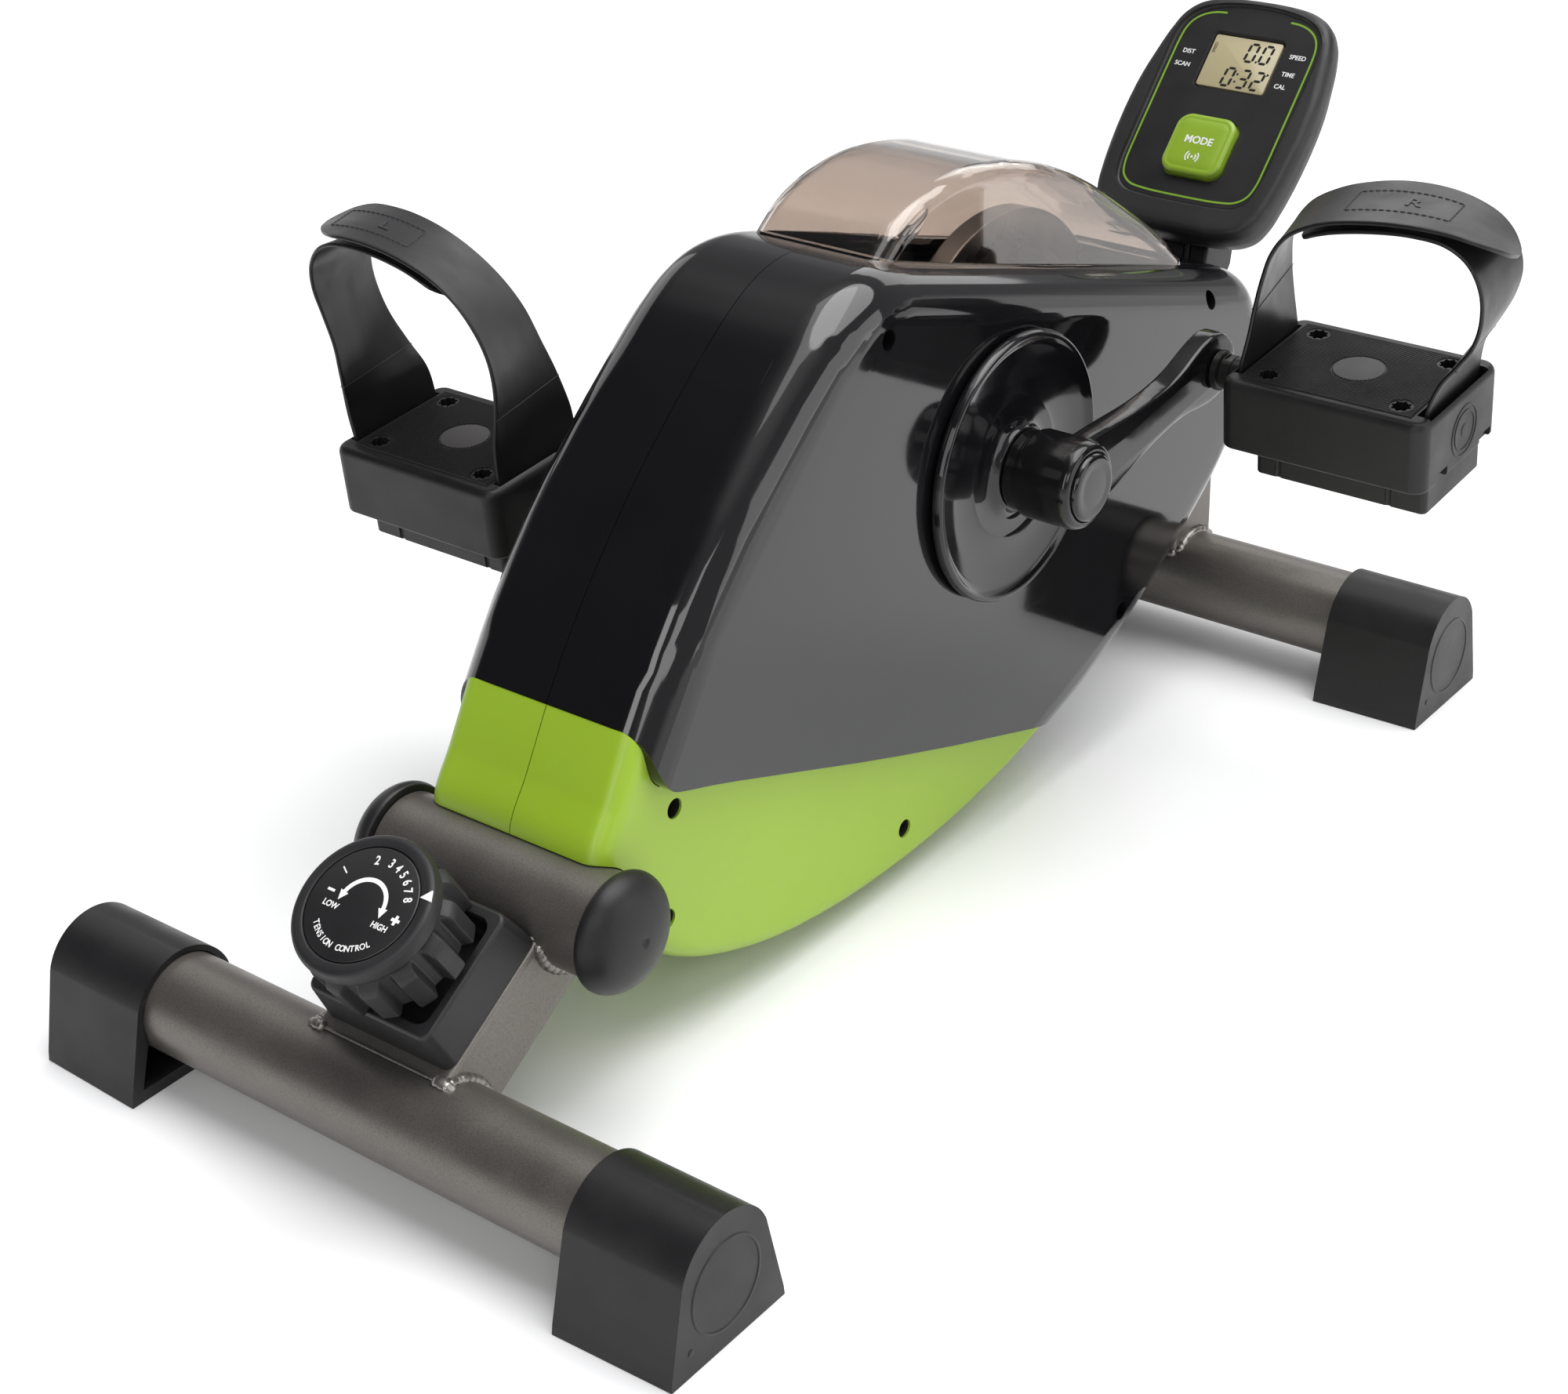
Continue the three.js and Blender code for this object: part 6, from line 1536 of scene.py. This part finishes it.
def strap(name, lines, n, F, body, nodes, half_w, t=2.4, extras=None):
    """moulded rubber strap: bead along both edges, rounded end, a little twisted"""
    pts, nrm = strap_surface(lines, n)
    L = [0.0]
    for i in range(1, n):
        L.append(L[-1] + (mixp(pts, nrm, i, 0)[0] - mixp(pts, nrm, i - 1, 0)[0]).length)
    rings = []
    for i in range(n):
        w = half_w(L[i], L[-1])
        sec = []
        # closed section: across the width on the outer face, back along the inner face
        us = [-1, -0.985, -0.955, -0.90, -0.7, -0.35, 0, 0.35, 0.7, 0.90, 0.955, 0.985, 1]
        top = [0.0, 0.36, 0.50, 0.5, 0.46, 0.46, 0.46, 0.46, 0.46, 0.5, 0.50, 0.36, 0.0]
        for u, h in zip(us, top):
            sec.append((u * w, h * t))
        for u, h in list(zip(us, top))[-2:0:-1]:
            sec.append((u * w, -h * t))
        ring = []
        for y, h in sec:
            p, q = mixp(pts, nrm, i, y)
            ring.append((p[0] + q[0] * h, y, p[1] + q[1] * h))
        rings.append(ring)
    o = loft(name + "_m", rings)
    only(o, M_STRAP)
    obs = [o]
    if extras:
        obs += extras(pts, nrm, L)
    p = merge(name, obs)
    move(p, F)
    finish(p, None, body, nodes, sharp=42)
    return p


def at_len(pts, nrm, L, s, y=0.0):
    i = 1
    while i < len(L) - 1 and L[i] < s:
        i += 1
    u = (s - L[i - 1]) / max(1e-9, L[i] - L[i - 1])
    p0, q0 = mixp(pts, nrm, i - 1, y)
    p1, q1 = mixp(pts, nrm, i, y)
    return p0.lerp(p1, u), q0.lerp(q1, u).normalized()


def letter_marks(letter, pts, nrm, L, s0, sd):
    """one raised capital pressed in the strap, wrapped on its surface"""
    me = text("lt", letter, 14.0, (0, 0, 0), 0.0, None, M_STRAP, 0.5, 1.0, bold=0.25)
    for v in me.data.vertices:
        a, b, h = v.co
        # the letter's up direction runs across the strap, its writing direction along it
        p, q = at_len(pts, nrm, L, s0 + a * sd, b)
        hh = 1.0 + (h + 0.25) * 0.9
        v.co = (p[0] + q[0] * hh, b, p[1] + q[1] * hh)
    bm = bmesh.new()
    bm.from_mesh(me.data)
    bmesh.ops.recalc_face_normals(bm, faces=bm.faces)
    bm.to_mesh(me.data)
    bm.free()
    return me


def stitches(pts, nrm, L, s0, s1, w, pitch=3.4, off=1.14):
    """a rectangle of thread between two lengths along the strap, w either side of its middle"""
    out = []
    runs = [((s0, -w), (s1, -w)), ((s1, -w), (s1, w)), ((s1, w), (s0, w)), ((s0, w), (s0, -w))]
    for (a0, b0), (a1, b1) in runs:
        ln = math.hypot(a1 - a0, b1 - b0)
        k = max(2, int(ln / pitch))
        for i in range(k):
            f0, f1 = (i + 0.14) / k, (i + 0.86) / k
            q = []
            for j in range(5):
                f = f0 + (f1 - f0) * j / 4
                a, b = a0 + (a1 - a0) * f, b0 + (b1 - b0) * f
                p2, n2 = at_len(pts, nrm, L, a, b)
                h = off - 0.3 * (1 - math.sin(math.pi * j / 4))
                q.append((p2[0] + n2[0] * h, b, p2[1] + n2[1] * h))
            st = sweep("st", q, 0.5, 6)
            only(st, M_THREAD)
            out.append(st)
    return out


def crease(pts, nrm, L, s, w, side=1):
    """fine moulded line across the strap"""
    q = []
    for k in range(7):
        y = -w + 2 * w * k / 6
        p, n2 = at_len(pts, nrm, L, s, y)
        q.append((p[0] + n2[0] * 1.14 * side, y, p[1] + n2[1] * 1.14 * side))
    o = sweep("cr", q, 0.28, 6)
    only(o, M_STRAP_IN)
    return o


def end_round(L, tot, w, r):
    d = tot - L
    return w if d >= r else max(1.2, w * math.sqrt(max(0.0, 1 - ((r - d) / r) ** 2)))


def straps(tag, sd, F, body, letter):
    s0, s1 = (118, 172) if sd > 0 else (146, 198)

    def ex_up(pts, nrm, L):
        o = stitches(pts, nrm, L, s0, s1, 13.5)
        o.append(letter_marks(letter, pts, nrm, L, (s0 + s1) / 2 + (5 if sd > 0 else -5), 1 if sd > 0 else -1))
        o.append(crease(pts, nrm, L, 44, 27.6, 1))
        o.append(crease(pts, nrm, L, 44, 27.6, -1))
        return o

    def ex_un(pts, nrm, L):
        return [crease(pts, nrm, L, 38, 27.6, 1), crease(pts, nrm, L, 38, 27.6, -1)]

    def w_up(s, tot):
        base = 29.8 - 1.6 * smooth01((s - 8) / 30) * (1 - smooth01((s - 60) / 60))
        return min(base, end_round(s, tot, 29.8, 24))

    def w_un(s, tot):
        base = 29.8 - 2.0 * smooth01((s - 10) / 25) * (1 - smooth01((s - 55) / 50))
        return min(base, end_round(s, tot, 29.8, 8))
    strap("strap_top_" + tag, STRAPS[tag]["upper"], 110, F, body, ["strap_upper_right" if sd > 0 else "strap_upper_left"], w_up, extras=ex_up)
    strap("strap_lower_" + tag, STRAPS[tag]["under"], 100, F, body, ["strap_under_right" if sd > 0 else "strap_under_left"], w_un, extras=ex_un)


straps("right", 1, PED_R_F, PED_R, "R")
straps("left", -1, PED_L_F, PED_L, "L")

# ------------------------------------------------------------------ floor and soft studio light
def stage_floor():
    me = bpy.data.meshes.new("floor")
    n, rad = 96, 60.0
    me.from_pydata([(rad * math.cos(2 * math.pi * i / n), rad * math.sin(2 * math.pi * i / n), -0.0002) for i in range(n)], [], [tuple(range(n))])
    ob = link(bpy.data.objects.new("floor", me))
    ma = bpy.data.materials.new("pale_floor")
    ma.use_nodes = True
    nt = ma.node_tree
    b = nt.nodes["Principled BSDF"]
    tc = _node(nt, "ShaderNodeTexCoord", -900)
    ns = _node(nt, "ShaderNodeTexNoise", -600)
    ns.inputs["Scale"].default_value = 3.0
    nt.links.new(tc.outputs["Object"], ns.inputs["Vector"])
    rp = _node(nt, "ShaderNodeValToRGB", -300)
    rp.color_ramp.elements[0].color = (0.895, 0.895, 0.9, 1)
    rp.color_ramp.elements[1].color = (0.91, 0.91, 0.915, 1)
    nt.links.new(ns.outputs["Fac"], rp.inputs["Fac"])
    nt.links.new(rp.outputs["Color"], b.inputs["Base Color"])
    b.inputs["Roughness"].default_value = 0.8
    b.inputs["Specular IOR Level"].default_value = 0.2
    me.materials.append(ma)


stage_floor()


def area(name, at, look, size, size_y, power, color=(1, 1, 1), spread=180):
    li = bpy.data.lights.new(name, "AREA")
    li.shape = "RECTANGLE"
    li.size, li.size_y = size, size_y
    li.energy = power
    li.color = color
    li.spread = math.radians(spread)
    ob = link(bpy.data.objects.new(name, li))
    ob.location = at
    d = Vector(look) - Vector(at)
    ob.rotation_euler = d.to_track_quat("-Z", "Y").to_euler()
    return ob


# one broad soft sun for the floor, overhead and side banks, a tall strip for the rolled edge of the housing
sun = bpy.data.lights.new("soft_sun", "SUN")
sun.energy = 2.25
sun.angle = math.radians(55)
so = link(bpy.data.objects.new("soft_sun", sun))
so.rotation_euler = Vector((-0.22, -0.30, -1.0)).to_track_quat("-Z", "Y").to_euler()
area("top_bank", (0.1, 0.1, 2.2), (0, 0, 0.1), 1.7, 1.3, 12)
area("right_bank", (2.1, 0.6, 0.9), (0, 0.05, 0.2), 2.0, 1.2, 13)
area("left_bank", (-2.2, 0.5, 1.3), (0, 0, 0.2), 1.4, 1.2, 5)
area("front_strip", (0.30, -2.0, 1.15), (0, -0.1, 0.2), 0.42, 1.5, 8)
area("front_bank", (1.35, -1.7, 1.5), (0, -0.1, 0.15), 0.8, 0.8, 6)
area("rear_bank", (-0.5, 2.3, 1.4), (0, 0.2, 0.25), 1.8, 1.0, 9)

# pale surroundings with a darker wall off to the front left
w = bpy.data.worlds.new("studio")
scene.world = w
w.use_nodes = True
nt = w.node_tree
bg = nt.nodes["Background"]
bg.inputs["Strength"].default_value = 1.0
tc = _node(nt, "ShaderNodeTexCoord", -1400)


def _ramp(x, stops):
    r = _node(nt, "ShaderNodeValToRGB", x)
    cr = r.color_ramp
    cr.interpolation = "EASE"
    cr.elements[0].position, cr.elements[0].color = stops[0][0], stops[0][1] + (1,)
    cr.elements[1].position, cr.elements[1].color = stops[-1][0], stops[-1][1] + (1,)
    for pos, col in stops[1:-1]:
        e = cr.elements.new(pos)
        e.color = col + (1,)
    return r


sep = _node(nt, "ShaderNodeSeparateXYZ", -1200)
nt.links.new(tc.outputs["Generated"], sep.inputs["Vector"])
elev = _ramp(-900, [(0.02, (0.93, 0.935, 0.94)), (0.16, (0.30, 0.302, 0.31)), (0.70, (0.30, 0.302, 0.31)), (0.95, (0.75, 0.755, 0.765))])
nt.links.new(sep.outputs["Z"], elev.inputs["Fac"])
dot = _node(nt, "ShaderNodeVectorMath", -1100)
dot.operation = "DOT_PRODUCT"
nt.links.new(tc.outputs["Generated"], dot.inputs[0])
dot.inputs[1].default_value = (-0.57, -0.74, 0.36)
wall = _ramp(-700, [(0.45, (1.0, 1.0, 1.0)), (0.80, (0.14, 0.14, 0.145))])
nt.links.new(dot.outputs["Value"], wall.inputs["Fac"])
# the wall stands above the horizon only
lift = _ramp(-700, [(0.04, (0.0, 0.0, 0.0)), (0.14, (1.0, 1.0, 1.0))])
nt.links.new(sep.outputs["Z"], lift.inputs["Fac"])
mul = _node(nt, "ShaderNodeMix", -400)
mul.data_type = "RGBA"
mul.blend_type = "MULTIPLY"
nt.links.new(lift.outputs["Color"], mul.inputs[0])
nt.links.new(elev.outputs["Color"], mul.inputs[6])
nt.links.new(wall.outputs["Color"], mul.inputs[7])
nt.links.new(mul.outputs[2], bg.inputs["Color"])

scene.view_settings.view_transform = "Standard"
scene.view_settings.look = "None"
scene.view_settings.exposure = 0.0
